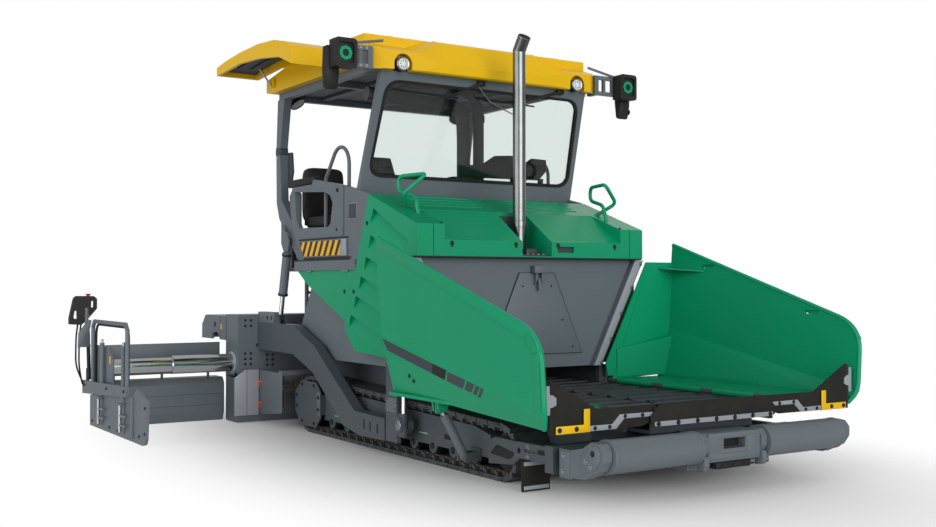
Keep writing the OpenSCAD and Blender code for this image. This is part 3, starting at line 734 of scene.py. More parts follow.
    def lathe(self, profile: Outline, centre: Point, axis: Point, segments: int = 32) -> "Workpiece":
        """Adds a shape turned about an axis.

        Args:
            profile: Distance from the axis and place along it, in order.
            centre: A point on the axis, where the place along it is zero.
            axis: The way of the axis.
            segments: Steps of the full turn.

        Returns:
            This workpiece.
        """
        way = Vector(axis).normalized()
        side = way.orthogonal().normalized()
        verts = [self.mesh.verts.new(Vector(centre) + side * r + way * h) for r, h in profile]
        edges = [self.mesh.edges.new(pair) for pair in zip(verts, verts[1:])]
        bmesh.ops.spin(
            self.mesh, geom=[*verts, *edges], cent=Vector(centre), axis=way, angle=math.tau,
            steps=segments, use_merge=True,
        )
        bmesh.ops.remove_doubles(self.mesh, verts=self.mesh.verts[:], dist=1e-6)
        return self

    def bolts(
        self, places: Outline, way: Point, radius: float = 0.013, height: float = 0.010
    ) -> "Workpiece":
        """Adds a washer and a hexagon head at each place.

        Args:
            places: The points on the surface.
            way: The outward way.
            radius: Radius of the heads.
            height: Height of the heads.

        Returns:
            This workpiece.
        """
        out = Vector(way).normalized()
        for place in places:
            foot = Vector(place)
            rim = out * self.WASHER
            self.rod(foot - rim, foot + rim, radius * self.WASHER_SHARE, segments=12)
            self.rod(foot, foot + out * (self.WASHER + height), radius, radius * self.HEAD_SHARE, 6)
        return self

    def deliver(
        self, both_sides: bool = False, smooth_deg: float = 32.0, side: Side = Side.LEFT
    ) -> bpy.types.Object:
        """Finishes the mesh and hands it over as a piece.

        Args:
            both_sides: Whether the mesh is repeated on the other side of the machine.
            smooth_deg: Edges turned by less than this are shaded smooth.
            side: The side it goes to, when it was made for the left one.

        Returns:
            The finished object, riding on its body.
        """
        if side is Side.RIGHT:
            bmesh.ops.scale(self.mesh, vec=(1, -1, 1), verts=self.mesh.verts[:])
        if both_sides:
            whole = self.mesh.verts[:] + self.mesh.edges[:] + self.mesh.faces[:]
            bmesh.ops.mirror(self.mesh, geom=whole, matrix=Matrix(), merge_dist=1e-7, axis="Y")
        bmesh.ops.recalc_face_normals(self.mesh, faces=self.mesh.faces[:])
        data = bpy.data.meshes.new(self.name)
        self.mesh.to_mesh(data)
        self.mesh.free()
        data.materials.append(SHOP.of(self.finish))
        data.shade_smooth()
        data.set_sharp_from_angle(angle=math.radians(smooth_deg))
        piece = link_new(self.name, data)
        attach(piece, self.body)
        LOG.info("%s: %d faces on %s", self.name, len(data.polygons), self.body)
        return piece

    def pair(self, smooth_deg: float = 32.0) -> bpy.types.Object:
        """Hands the mesh over together with its mirror image on the other side, as one piece."""
        return self.deliver(both_sides=True, smooth_deg=smooth_deg)


def corner_curve(before: Vector, corner: Vector, after: Vector, reach: float, steps: int) -> List[Vector]:
    """Points of the round at one corner.

    Args:
        before: The corner before it.
        corner: The corner itself.
        after: The corner after it.
        reach: The length of each leg that is given to the round.
        steps: Steps along the round.

    Returns:
        The points, from the leg before to the leg after.
    """
    first = corner + (before - corner).normalized() * min(reach, (corner - before).length * 0.49)
    last = corner + (after - corner).normalized() * min(reach, (after - corner).length * 0.49)
    shares = [i / steps for i in range(steps + 1)]
    return [first * (1 - t) ** 2 + corner * 2 * t * (1 - t) + last * t * t for t in shares]


def rounded(route: Outline, bend: float, steps: int = 6) -> List[Vector]:
    """Rounds the corners of an open route.

    Args:
        route: The corners in order.
        bend: The length of each leg that is given to a round.
        steps: Steps along each round.

    Returns:
        The points of the rounded route.
    """
    points = [Vector(p) for p in route]
    if bend <= 0:
        return points
    out = [points[0]]
    for before, corner, after in zip(points, points[1:], points[2:]):
        out += corner_curve(before, corner, after, bend, steps)
    return out + [points[-1]]


def rounded_loop(outline: Outline, reach: float, steps: int = 6) -> List[Vector]:
    """Rounds every corner of a closed outline.

    Args:
        outline: The corners in order.
        reach: The length of each leg that is given to a round.
        steps: Steps along each round.

    Returns:
        The points of the rounded outline.
    """
    points = [Vector(p) for p in outline]
    out: List[Vector] = []
    for i, corner in enumerate(points):
        after = points[(i + 1) % len(points)]
        out += corner_curve(points[i - 1], corner, after, reach, steps)
    return out


def mm(*values: float) -> Vector:
    """A point or a way in millimetres, turned to metres."""
    return Vector(values) / 1000


def corners(a: float, b: float, wide: float, tall: float) -> List[Tuple[float, float]]:
    """The corners of a rectangle about a middle point, from its half sizes."""
    return [(a - wide, b - tall), (a + wide, b - tall), (a + wide, b + tall), (a - wide, b + tall)]


def box_between(first: Vector, second: Vector) -> Tuple[Vector, Vector]:
    """The lowest and highest corners of the box between two points."""
    pairs = [sorted(pair) for pair in zip(first, second)]
    return Vector([p[0] for p in pairs]), Vector([p[1] for p in pairs])


class Across(Enum):
    """The axis that a flat outline lies across."""

    X = 0
    Y = 1

    def stand(self, level: float, points: Outline) -> List[Vector]:
        """Stands a flat outline at a level.

        Args:
            level: Its place along the axis in millimetres.
            points: Its corners in millimetres, by the other two axes in order.

        Returns:
            The corners in metres.
        """
        spots = []
        for pair in points:
            spot = list(pair)
            spot.insert(self.value, level)
            spots.append(mm(*spot))
        return spots

    def way(self, depth: float) -> Vector:
        """Gives a way along the axis.

        Args:
            depth: Its length in millimetres.

        Returns:
            The way in metres.
        """
        spot = [0.0, 0.0]
        spot.insert(self.value, depth)
        return mm(*spot)


@dataclass
class Fittings:
    """A sub-assembly whose pieces ride on one body, in millimetres."""

    body: str = "tractor"

    def piece(self, name: str, finish: Any) -> Workpiece:
        """Starts a piece that rides on this sub-assembly's body."""
        return Workpiece(name, self.body, finish)


@dataclass
class RoofFittings(Fittings):
    """Lamps, linings and small fittings on and under the roof, in millimetres."""

    lamp: Tuple[float, float, float] = (440.0, 1615.0, 3527.0)
    lamp_half: Tuple[float, float] = (108.0, 130.0)
    ring: Tuple[float, float] = (34.0, 64.0)
    headlamp: Tuple[float, float, float] = (380.0, 1002.0, 3505.0)
    awning_y: Tuple[float, float] = (1322.0, 1713.0)
    awning_line: Outline = (
        (-2283, 3789), (-2100, 3814), (-1700, 3839), (-1200, 3843), (-800, 3812), (-602, 3764),
        (-474, 3700),
    )
    mirror: Tuple[float, float, float] = (-1880.0, 1010.0, 3440.0)

    def build(self) -> None:
        """Makes every fitting of the roof."""
        self._work_lamps()
        self._lamp_bars()
        self._headlamps()
        self._awnings()
        self._lining()
        self._mirrors()

    def _work_lamps(self) -> None:
        """Square lamps with a green ring on the brackets beside the roof."""
        x, y, z = self.lamp
        wide, tall = self.lamp_half
        case = self.piece("work_lamp_cases", BLACK_PLASTIC)
        case.block(
            mm(x - 116, y - wide + 3, z - tall + 3), mm(x + 6, y + wide - 3, z + tall - 3), 0.024, steps=3
        )
        case.panel(
            Across.X, x + 26, corners(y, z, wide, tall), -32, holes=[corners(y, z, wide - 30, tall - 36)],
            reach=38,
        )
        case.panel(
            Across.Y, 1612,
            [(246, 3608), (336, 3608), (336, 3358), (304, 3220), (254, 3232), (232, 3400)], 136, bevel=24,
        )
        case.rod(mm(300, 1744, 3300), mm(300, 1752, 3300), 0.03)
        case.pair()
        inner, outer = (r / 1000 for r in self.ring)
        ring = self.piece("work_lamp_rings", GREEN)
        ring.lathe(
            [(inner, 0), (outer, 0), (outer, 0.01), (inner, 0.01), (inner, 0)], mm(x + 6, y, z), FORWARD,
            segments=8,
        )
        ring.pair(smooth_deg=20)
        bolts = self.piece("lamp_bracket_bolts", ZINC)
        bolts.bolts([mm(330, y, z) for y in (1345, 1405) for z in (3460, 3620)], FORWARD, 0.009, 0.006)
        bolts.pair()

    def _lamp_bars(self) -> None:
        """Sloping bars from the roof to the work lamps."""
        bars = self.piece("lamp_bars", GREY)
        bars.panel(Across.X, 332, [(1180, 3716), (1535, 3652), (1535, 3626), (1180, 3690)], 10, 2)
        bars.pair()

    def _headlamps(self) -> None:
        """Round white lamps with a ring of dots in the arches of the roof."""
        centre = mm(*self.headlamp)
        rim = self.piece("headlamp_rims", ZINC)
        rim.lathe(
            [(0.05, 0), (0.061, 0), (0.066, 0.006), (0.06, 0.014), (0.05, 0.01), (0.05, 0)], centre,
            FORWARD,
        )
        rim.pair()
        face = self.piece("headlamp_faces", REFLECTOR)
        face.lathe(
            [(0.0, 0.014), (0.02, 0.0132), (0.038, 0.0105), (0.052, 0.004), (0.052, -0.002)], centre,
            FORWARD,
        )
        face.pair()
        dots = self.piece("headlamp_dots", BLACK_PLASTIC)
        for i in range(8):
            turn = math.tau * i / 8
            spot = centre + mm(0, 31 * math.cos(turn), 31 * math.sin(turn))
            dots.rod(spot + mm(6, 0, 0), spot + mm(13.5, 0, 0), 0.006, segments=10)
        dots.pair()

    def _awnings(self) -> None:
        """Dark linings in the hollow of the awnings, and their struts and arms."""
        low, high = self.awning_y
        line = list(self.awning_line)
        lining = self.piece("awning_linings", PANEL)
        lining.panel(Across.Y, low, line + [(x, z - 8) for x, z in reversed(line)], high - low)
        for y in (low + 120, high - 130):
            lining.panel(
                Across.Y,
                y,
                [(x, z - 7) for x, z in line[1:6]]
                + [(x, z - 24) for x, z in reversed(line[1:6])],
                22,
            )
        lining.pair()
        struts = self.piece("awning_struts", ZINC)
        struts.rod(mm(-470, 1300, 3560), mm(-900, 1330, 3735), 0.011)
        struts.rod(mm(-900, 1330, 3735), mm(-1250, 1350, 3830), 0.006)
        struts.rod(mm(-1900, 1300, 3600), mm(-1950, 1420, 3790), 0.010)
        struts.pair()
        arms = self.piece("awning_arms", YELLOW)
        arms.boxes([(-520, 1282, 3556, -300, 1296, 3604), (-1960, 1282, 3600, -1860, 1300, 3690)], 4)
        arms.pair()

    def _lining(self) -> None:
        """The dark lining under the roof with its ribs, and the clips on top."""
        lining = self.piece("roof_lining", PANEL)
        lining.boxes([(-1885, -1114, 3523, 170, 1114, 3538)])
        for y in (-700, 0, 700):
            lining.boxes([(-1850, y - 45, 3494, 120, y + 45, 3525)], 8)
        lining.block(mm(-820, -380, 3440), mm(-260, 380, 3524), 0.03, steps=3)
        lining.deliver()
        self.piece("roof_clips", RED).block(mm(10, 920, 3796), mm(60, 990, 3822), 0.006).pair()
        self.piece("roof_clip_feet", BLACK_PLASTIC).boxes([(-5, 900, 3790, 75, 1010, 3803)], 4).pair()

    def _mirrors(self) -> None:
        """Round mirrors on short arms at the rear posts."""
        centre = mm(*self.mirror)
        way = Vector((0.5, -0.35, -0.8)).normalized()
        shell = self.piece("mirror_shells", BLACK_PLASTIC)
        shell.lathe(
            [(0, -0.05), (0.05, -0.042), (0.085, -0.012), (0.09, 0.006), (0.084, 0.012), (0.08, 0.006)],
            centre, way,
        )
        shell.tube([centre - way * 0.05, mm(-1915, 1080, 3452), mm(-1920, 1130, 3440)], 0.012, 0.03)
        shell.pair()
        face = self.piece("mirror_faces", STAINLESS)
        face.lathe([(0, 0.008), (0.04, 0.0075), (0.081, 0.006)], centre, way)
        face.pair()


@dataclass
class ScreenFittings(Fittings):
    """Gasket, wipers and what shows behind the windscreen, in millimetres."""

    foot: Tuple[float, float, float] = (-95.0, 0.0, 2346.0)
    tilt_deg: float = 16.7
    low_half: float = 1165.0
    top_half: float = 1105.0
    low: float = 189.0
    top: float = 1085.5
    face: float = 60.0

    def spot(self, across: float, up: float, out: float) -> Vector:
        """A point on the screen.

        Args:
            across: Its place across the machine.
            up: Its height along the screen.
            out: Its distance in front of the frame's rear face.

        Returns:
            The point in metres.
        """
        tilt = math.radians(self.tilt_deg)
        return mm(
            self.foot[0] + up * math.sin(tilt) + out * math.cos(tilt), across,
            self.foot[2] + up * math.cos(tilt) - out * math.sin(tilt),
        )

    def loop(self, grow: float, reach: float, out: float) -> List[Vector]:
        """Draws the outline of the opening, grown outward.

        Args:
            grow: How far it is grown.
            reach: The length of each corner that is rounded off, or 0 for sharp corners.
            out: Its distance in front of the frame's rear face.

        Returns:
            The outline's points in metres.
        """
        wide, narrow = self.low_half + grow, self.top_half + grow
        low, top = self.low - grow, self.top + grow
        flat = [(-wide, low), (wide, low), (narrow, top), (-narrow, top)]
        points = [self.spot(a, b, out) for a, b in flat]
        return rounded_loop(points, reach / 1000, 8) if reach else points

    def build(self) -> None:
        """Makes every fitting of the windscreen."""
        back = self.spot(0, 0, 0) - self.spot(0, 0, 1)
        fillet = self.piece("screen_corner_fillets", GREY)
        fillet.plate(self.loop(2, 0, self.face + 1), back * 22, holes=[self.loop(-1, 150, self.face + 1)])
        fillet.deliver()
        gasket = self.piece("screen_gasket", BLACK_RUBBER)
        gasket.plate(
            self.loop(9, 156, self.face + 5), back * 28, holes=[self.loop(-20, 130, self.face + 5)]
        )
        gasket.deliver()
        self._wipers()
        self._inside()

    def _wipers(self) -> None:
        """Two wipers parked along the top edge."""
        arms = self.piece("wiper_arms", BLACK_PLASTIC)
        out = self.face + 30
        for start, end, blade in (
            ((-105, 1150), (-420, 1004), ((-995, 1000), (-330, 986))),
            ((838, 1155), (300, 984), ((-99, 1000), (560, 983))),
        ):
            arms.block(
                self.spot(start[0], start[1], out) - mm(30, 40, 26),
                self.spot(start[0], start[1], out) + mm(16, 40, 26), 0.01,
            )
            arms.rod(self.spot(*start, out + 4), self.spot(*end, out - 6), 0.016, 0.008, 10)
            first, last = (self.spot(*p, out - 14) for p in blade)
            arms.rod(first, last, 0.008, segments=8)
        arms.deliver()
        link = self.piece("wiper_links", ZINC)
        link.tube(
            [self.spot(-164, 1141, out), self.spot(33, 980, out - 4), self.spot(311, 888, out - 10)],
            0.006, 0.03, 8,
        )
        link.deliver()

    def _inside(self) -> None:
        """Air ducts, control panels and steering knobs behind the glass."""
        ducts = self.piece("air_ducts", DUCT)
        ducts.tube(
            [
                mm(-330, -1000, 3340), mm(-320, -420, 3310), mm(-300, 60, 3290), mm(-300, 85, 3060),
                mm(-300, 85, 2460),
            ],
            0.066,
            0.16,
            20,
        )
        ducts.tube([mm(-330, -60, 3490), mm(-300, 268, 3420), mm(-300, 268, 2460)], 0.056, 0.2, 20)
        ducts.rod(mm(-316, -230, 3301), mm(-310, -130, 3297), 0.076)
        ducts.rod(mm(-300, 268, 3150), mm(-300, 268, 3220), 0.064)
        ducts.deliver()
        desk = self.piece("control_panels", BLACK_PLASTIC)
        desk.block(
            mm(-150, -1090, -105), mm(-110, -800, 105), 0.012,
            Matrix.Translation(mm(-60, 0, 2680)) @ Matrix.Rotation(-0.5, 4, "Y"),
        )
        screens = [(0, 2694), (276, 2721), (431, 2817), (646, 2831), (777, 2738), (895, 2817), (1080, 2812)]
        desk.panel(Across.X, -262, [*screens, (1080, 2690), (985, 2593), (0, 2579)], 30, 6)
        desk.tube([mm(-160, 600, 2600), mm(-190, 600, 2300)], 0.03)
        for s in (1, -1):
            desk.tube([mm(-160, s * 950, 2600), mm(-220, s * 900, 1690)], 0.03)
        desk.deliver()
        wheel = self.piece("steering_knobs", BLACK_PLASTIC)
        for y in (-380, 380):
            wheel.rod(mm(-520, y, 2400), mm(-540, y, 2500), 0.02)
            wheel.rod(mm(-545, y, 2500), mm(-552, y, 2535), 0.05, 0.045, 20, 0.01)
        wheel.deliver()


@dataclass
class StandFittings(Fittings):
    """The operator's stand: side panels, arm rests and seats, in millimetres."""

    face: float = 1250.0
    seat_y: Tuple[float, float] = (630.0, 1110.0)

    def build(self) -> None:
        """Makes every fitting of the stand."""
        self._side_panels()
        self._seats()
        self._posts()

    def _side_panels(self) -> None:
        """The warning bands, seams, blank plates, bolts and sill clips of the side panels."""
        y = self.face
        band = self.piece("warning_bands", GREY)
        band.panel(Across.Y, y, [(-1302, 1942), (-228, 1940), (-216, 1772), (-1186, 1770)], 12, 4)
        band.panel(Across.Y, y - 1, [(-1404, 2068), (-1290, 1962), (-330, 1962), (-330, 2052)], 5, 2)
        band.pair()
        sheet = self.piece("warning_sheets", HAZARD)
        sheet.panel(Across.Y, y + 12, [(-1270, 1928), (-345, 1926), (-366, 1784), (-1172, 1784)], 2.5)
        sheet.pair()
        end = self.piece("warning_band_ends", MID_GREY)
        end.panel(Across.Y, y + 12, [(-336, 1936), (-236, 1936), (-224, 1777), (-354, 1777)], 5, 2)
        end.pair()
        seams = self.piece("side_panel_seams", BLACK_PLASTIC)
        seams.boxes([
            (-308, y - 2, 1956, -298, y + INLAY, 2440), (-1310, y - 2, 1944, -210, y + 3, 1958),
            (-1190, y - 2, 1752, -150, y + 3, 1768), (-1410, 1253, 1738, -180, 1256.5, 1750),
        ])
        seams.pair()
        self.piece("blank_plates", STRIPE).boxes([(-205, y - 1, 2112, -35, y + 5, 2262)], 3).pair()
        rim = self.piece("blank_plate_rims", ZINC)
        rim.panel(
            Across.Y, y + 7, corners(-120, 2187, 88, 78), -8, holes=[corners(-120, 2187, 78, 68)],
            reach=10,
        )
        rim.pair()
        bolts = self.piece("side_panel_bolts", BLACK_PLASTIC)
        bolts.bolts([mm(-442, y, 2405), mm(-446, y, 2028)], OUTWARD, 0.016, 0.008)
        bolts.bolts([mm(170, 1255, 2062), mm(-93, 1255, 1439), mm(-320, 1235, 1438)], OUTWARD, 0.015, 0.004)
        bolts.pair()
        sill = self.piece("sill_clips", ZINC)
        for x in (-1085, -289):
            sill.boxes([(x - 60, 1240, 1626, x + 60, 1256, 1640)], 3)
        sill.pair()

    def _seats(self) -> None:
        """Crowned cushions on a pedestal, and the arm rests."""
        y0, y1 = self.seat_y
        for side in Side:
            low, high = sorted((side.value * y0, side.value * y1))
            shell = self.piece(f"seat_frame_{side.word}", BLACK_PLASTIC)
            shell.boxes([(-1480, low + 40, 2055, -1030, high - 40, 2085)], 10)
            shell.boxes([(-1360, low + 130, 1680, -1150, high - 130, 2056)], 15)
            shell.boxes([(-1625, low + 60, 2120, -1595, high - 60, 2640)], 12)
            arm = sorted((side.value * 1140, side.value * 1236))
            shell.block(mm(-1640, arm[0], 2506), mm(-1008, arm[1], 2584), 0.018, steps=3)
            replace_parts(shell.deliver(), "seats")
            for word, lo, hi in (
                ("base", mm(-1500, low, 2084), mm(-1000, high, 2205)),
                ("back", mm(-1604, low + 15, 2150), mm(-1490, high - 15, 2725)),
            ):
                pad = self.piece(f"seat_{word}_{side.word}", VINYL)
                pad.cushion(lo, hi)
                piece = pad.deliver()

    def _posts(self) -> None:
        """Bolts and brackets of the rear posts."""
        bolts = self.piece("post_bolts", ZINC)
        for x, z in ((-1965, 2850), (-1965, 2700), (-1955, 2500), (-1500, 1850), (-1440, 1790)):
            bolts.bolts([mm(x, 1205, z)], OUTWARD, 0.015, 0.008)
        bolts.pair()
        bracket = self.piece("post_brackets", PANEL)
        bracket.panel(
            Across.Y, 1095, [(-1905, 2910), (-1800, 2905), (-1770, 2700), (-1820, 2560), (-1880, 2540)],
            24, 4,
        )
        bracket.boxes([(-2004, 1112, 2880, -1890, 1212, 2960)], 8)
        bracket.pair()


@dataclass
class HoodFittings(Fittings):
    """Grab rails, latches and seams of the hood, and the stack's foot and mouth, in millimetres."""

    front: float = 1068.0
    stack: Tuple[float, float] = (790.0, 60.0)
    tip: Tuple[float, float, float] = (870.3, 0.0, 3778.7)
    tip_tilt_deg: float = 35.0
    rail: Outline = (
        (783, 1064, 2060), (714, 1064, 2277), (470, 1100, 2340), (477, 1098, 2470), (813, 1008, 2473),
        (746, 1203, 2299), (591, 1064, 2180),
    )

    def build(self) -> None:
        """Makes every fitting of the hood."""
        face = self.front
        rails = self.piece("grab_rails", GREEN)
        rails.tube([mm(*p) for p in self.rail], 0.018, 0.06)
        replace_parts(rails.pair(), "grab_handles")
        seams = self.piece("hood_seams", BLACK_PLASTIC)
        seams.boxes([(946, -1250, 1737, face - 4, 1250, 1751)])
        seams.deliver()
        latches = self.piece("hood_latches", BLACK_PLASTIC)
        for y, z in ((908, 1862), (235, 1862)):
            latches.rod(mm(face - 4, y, z), mm(face + 6, y, z), 0.022, 0.019, 18, 0.003)
            latches.boxes([(face + 4, y - 7, z - 32, face + 11, y + 7, z - 8)], 3)
        latches.rod(mm(1035, 1000, 2028), mm(1042, 1000, 2040), 0.014, 0.012, 14)
        latches.pair()
        self.piece("hood_grip_cups", PANEL).block(mm(1028, 232, 1797), mm(1034, 418, 1848)).deliver()
        foot = self.piece("stack_foot", PANEL)
        foot.boxes([(646, -163, 1761, 1040, 163, 1775)], 3)
        foot.boxes([(642, -160, 1770, 650, 160, 2140)])
        foot.boxes([(905, -60, 1775, 985, 60, 1830)], 8)
        foot.deliver()
        bolts = self.piece("stack_foot_bolts", ZINC)
        bolts.bolts([mm(x, y, 1820) for x in (700, 880) for y in (-90, 90)], UPWARD)
        bolts.bolts([mm(1000, y, 1775) for y in (-120, -60, 0, 60, 120)], UPWARD, 0.01, 0.008)
        bolts.deliver()
        self._tip()

    def _tip(self) -> None:
        """The bevelled mouth of the stack, a black disc across it that paints the shade inside the pipe
        together with its soot, and the clamp at its foot.
        """
        tilt = math.radians(self.tip_tilt_deg)
        way = Vector((math.sin(tilt), 0, math.cos(tilt)))
        end = mm(*self.tip)
        mouth = self.piece("stack_mouth", STAINLESS)
        radius = self.stack[1] / 1000
        inner = [(-0.006, 0.004), (-0.006, -0.001)]
        lip = [(-0.004, -0.002), (0.001, -0.012), (0.002, 0.001), (0, 0.006), *inner]
        mouth.lathe([(radius + r, h) for r, h in lip], end, way)
        clamp = [(0.001, -0.03), (0.007, -0.026), (0.007, 0.026), (0.001, 0.03)]
        mouth.lathe([(radius + r, h) for r, h in clamp], mm(self.stack[0], 0, 2060), UPWARD)
        mouth.deliver()
        # Painted shade and soot: a black disc across the mouth stands in for the dark inside of the pipe
        shade_and_soot = self.piece("stack_soot", BLACK_RUBBER)
        shade_and_soot.rod(end - way * 0.001, end + way * 0.0015, radius - 0.004, segments=32)
        shade_and_soot.deliver()


class Skin:
    """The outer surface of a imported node, for laying thin pieces on it."""

    # Where rays start, and where a ray that misses is taken to end, in millimetres from the middle
    START, MISSED = 4000.0, 1600.0

    def __init__(self, node: bpy.types.Object) -> None:
        """Reads the node's mesh.

        Args:
            node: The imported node.
        """
        mesh = bmesh.new()
        mesh.from_mesh(node.data)
        self._tree = BVHTree.FromBMesh(mesh)
        mesh.free()

    def at(self, x: float, z: float, side: Side) -> Vector:
        """Where a level ray from outside meets the node.

        Args:
            x: Place along the machine in millimetres.
            z: Height in millimetres.
            side: The side that the ray comes from.

        Returns:
            The point in metres.
        """
        start = mm(x, side.value * self.START, z)
        hit = self._tree.ray_cast(start, Vector((0, -side.value, 0)))[0]
        return hit if hit is not None else mm(x, side.value * self.MISSED, z)


@dataclass
class WingFittings:
    """Rims, stripes, clamps and apron strips of one hopper wing, in millimetres."""

    side: Side
    skin: Skin
    top_edge: Outline = (
        (1080, 1646, 1888), (3170, 1616, 1210), (3288, 1612, 1077), (3288, 1586, 640), (3220, 1538, 545)
    )
    stripes: Sequence[Outline] = (
        ((1085, 1062), (1881, 905), (1834, 826), (1136, 966)),
        ((2094, 856), (2340, 814), (2273, 741), (2049, 784)),
        ((2365, 807), (2462, 788), (2389, 723), (2298, 739)),
        ((2481, 784), (2529, 775), (2457, 709), (2409, 718)),
        ((2546, 772), (2581, 765), (2510, 694), (2472, 701)),
    )
    dark_stripe: Outline = ((1881, 905), (2080, 867), (2023, 789), (1834, 826))

    @property
    def body(self) -> str:
        """The body that carries the wing."""
        return f"wing_{self.side.word}"

    def spot(self, x: float, y: float, z: float) -> Vector:
        """A point on this side of the machine."""
        return mm(x, self.side.value * y, z)

    def flat(self, points: Outline) -> List[Tuple[float, float]]:
        """Moves an outline across the machine to this side."""
        return [(self.side.value * y, z) for y, z in points]

    def piece(self, name: str, finish: Any) -> Workpiece:
        """Starts a piece of this wing."""
        return Workpiece(f"{name}_{self.side.word}", self.body, finish)

    def build(self) -> None:
        """Makes every fitting of the wing."""
        rim = self.piece("wing_rim", GREEN)
        rim.tube([self.spot(*p) for p in self.top_edge], 0.019, 0.11, 12)
        rim.deliver()
        self._rear_panel()
        self._flange()
        self._stripes()
        self._inside()
        self._apron()

    def _rear_panel(self) -> None:
        """The inner edge of the rear panel, up to the wall's strip, and the floor's corner."""
        panel = self.piece("rear_panel", GREEN)
        edge = [(800, 650), (775, 760), (1010, 1200), (1280, 1717), (1310, 1717), (1125, 1250), (880, 650)]
        panel.plate([self.spot(1082, y, z) for y, z in edge], mm(16, 0, 0))
        panel.block(*box_between(self.spot(1086, 1430, 600), self.spot(2300, 1486, 645)))
        panel.deliver()

    def _flange(self) -> None:
        """The folded strip below the top edge."""
        out = self.side.value
        strip = self.piece("wing_flange", GREEN)
        upper = [(1092, 1884), (3164, 1212), (3276, 1075), (3276, 660)]
        lower = [(1092, 1802), (3122, 1144), (3204, 1046), (3204, 676)]
        for (a, b), (c, d) in zip(zip(upper, upper[1:]), zip(lower, lower[1:])):
            quad = [self.skin.at(x, z - 4, self.side) for x, z in (a, b, d, c)]
            strip.plate([p + mm(0, out * 7, 0) for p in quad], mm(0, -out * 12, 0), 0.004)
        strip.deliver()

    def _stripes(self) -> None:
        """The slanting stripes along the fold of the wing, with no lettering."""
        out = self.side.value
        for name, finish, quads in (
            ("wing_stripes", STRIPE, self.stripes),
            ("wing_dark_stripe", BLACK_PLASTIC, (self.dark_stripe,)),
        ):
            vinyl = self.piece(name, finish)
            for quad in quads:
                steps = 6
                for i in range(steps):
                    spots = []
                    for t in (i / steps, (i + 1) / steps):
                        for a, b in ((quad[0], quad[1]), (quad[3], quad[2])):
                            spots.append((a[0] + (b[0] - a[0]) * t, a[1] + (b[1] - a[1]) * t))
                    order = (spots[0], spots[2], spots[3], spots[1])
                    face = [self.skin.at(x, z, self.side) + mm(0, out * 1.5, 0) for x, z in order]
                    vinyl.plate(face, mm(0, -out * 3, 0))
            vinyl.deliver()

    def _inside(self) -> None:
        """The gusset and the rear corner plate inside the wing, and the hinge latch."""
        plates = self.piece("wing_gussets", GREEN)
        plates.plate(
            [self.spot(1100, 1420, 1668), self.spot(1100, 1628, 1668), self.spot(1530, 1616, 1634)],
            mm(0, 0, -14), 0.003,
        )
        plates.plate(
            [
                self.spot(1110, 905, 640), self.spot(1110, 900, 900), self.spot(1160, 1560, 1010),
                self.spot(1150, 1500, 640),
            ],
            mm(-16, 0, 0),
        )
        plates.block(*box_between(self.spot(1735, 1400, 505), self.spot(1755, 1486, 596)), 0.004)
        plates.deliver()
        latch = self.piece("wing_latch", DARK_STEEL)
        for x, z in ((1440, 778), (1500, 742)):
            foot = self.skin.at(x, z, self.side)
            latch.rod(foot, foot + self.spot(0, 8, 0), 0.016, segments=14)
        latch.deliver()

    def _apron(self) -> None:
        """The yellow brackets, the bolted strips and the clamps on the rubber."""
        yellow = self.piece("apron_bracket", YELLOW)
        yellow.panel(
            Across.X, 3253,
            self.flat([(1179, 508), (1468, 508), (1468, 561), (1231, 561), (1231, 666), (1179, 666)]), 6,
            2,
        )
        yellow.deliver()
        strip = self.piece("apron_strip", MID_GREY)
        strip.panel(
            Across.X,
            3242,
            self.flat(
                [
                    (1180, 510), (1180, 548), (974, 546), (905, 609), (606, 607), (560, 600), (560, 578),
                    (868, 577), (940, 511),
                ]
            ),
            9,
            2,
        )
        strip.panel(
            Across.X,
            3243,
            self.flat(
                [
                    (1546, 836), (1520, 836), (1517, 776), (1490, 772), (1462, 752), (1462, 704),
                    (1490, 692), (1514, 688), (1516, 640), (1546, 640),
                ]
            ),
            12,
            3,
        )
        strip.deliver()
        bolts = self.piece("apron_bolts", DARK_STEEL)
        bolts.bolts([self.spot(3259, y, 534) for y in (1440, 1296)], FORWARD, 0.013, 0.008)
        bolts.bolts(
            [self.spot(3251, y, z) for y, z in ((1130, 529), (1000, 529), (860, 594), (700, 592))],
            FORWARD,
            0.011,
            0.007,
        )
        bolts.deliver()


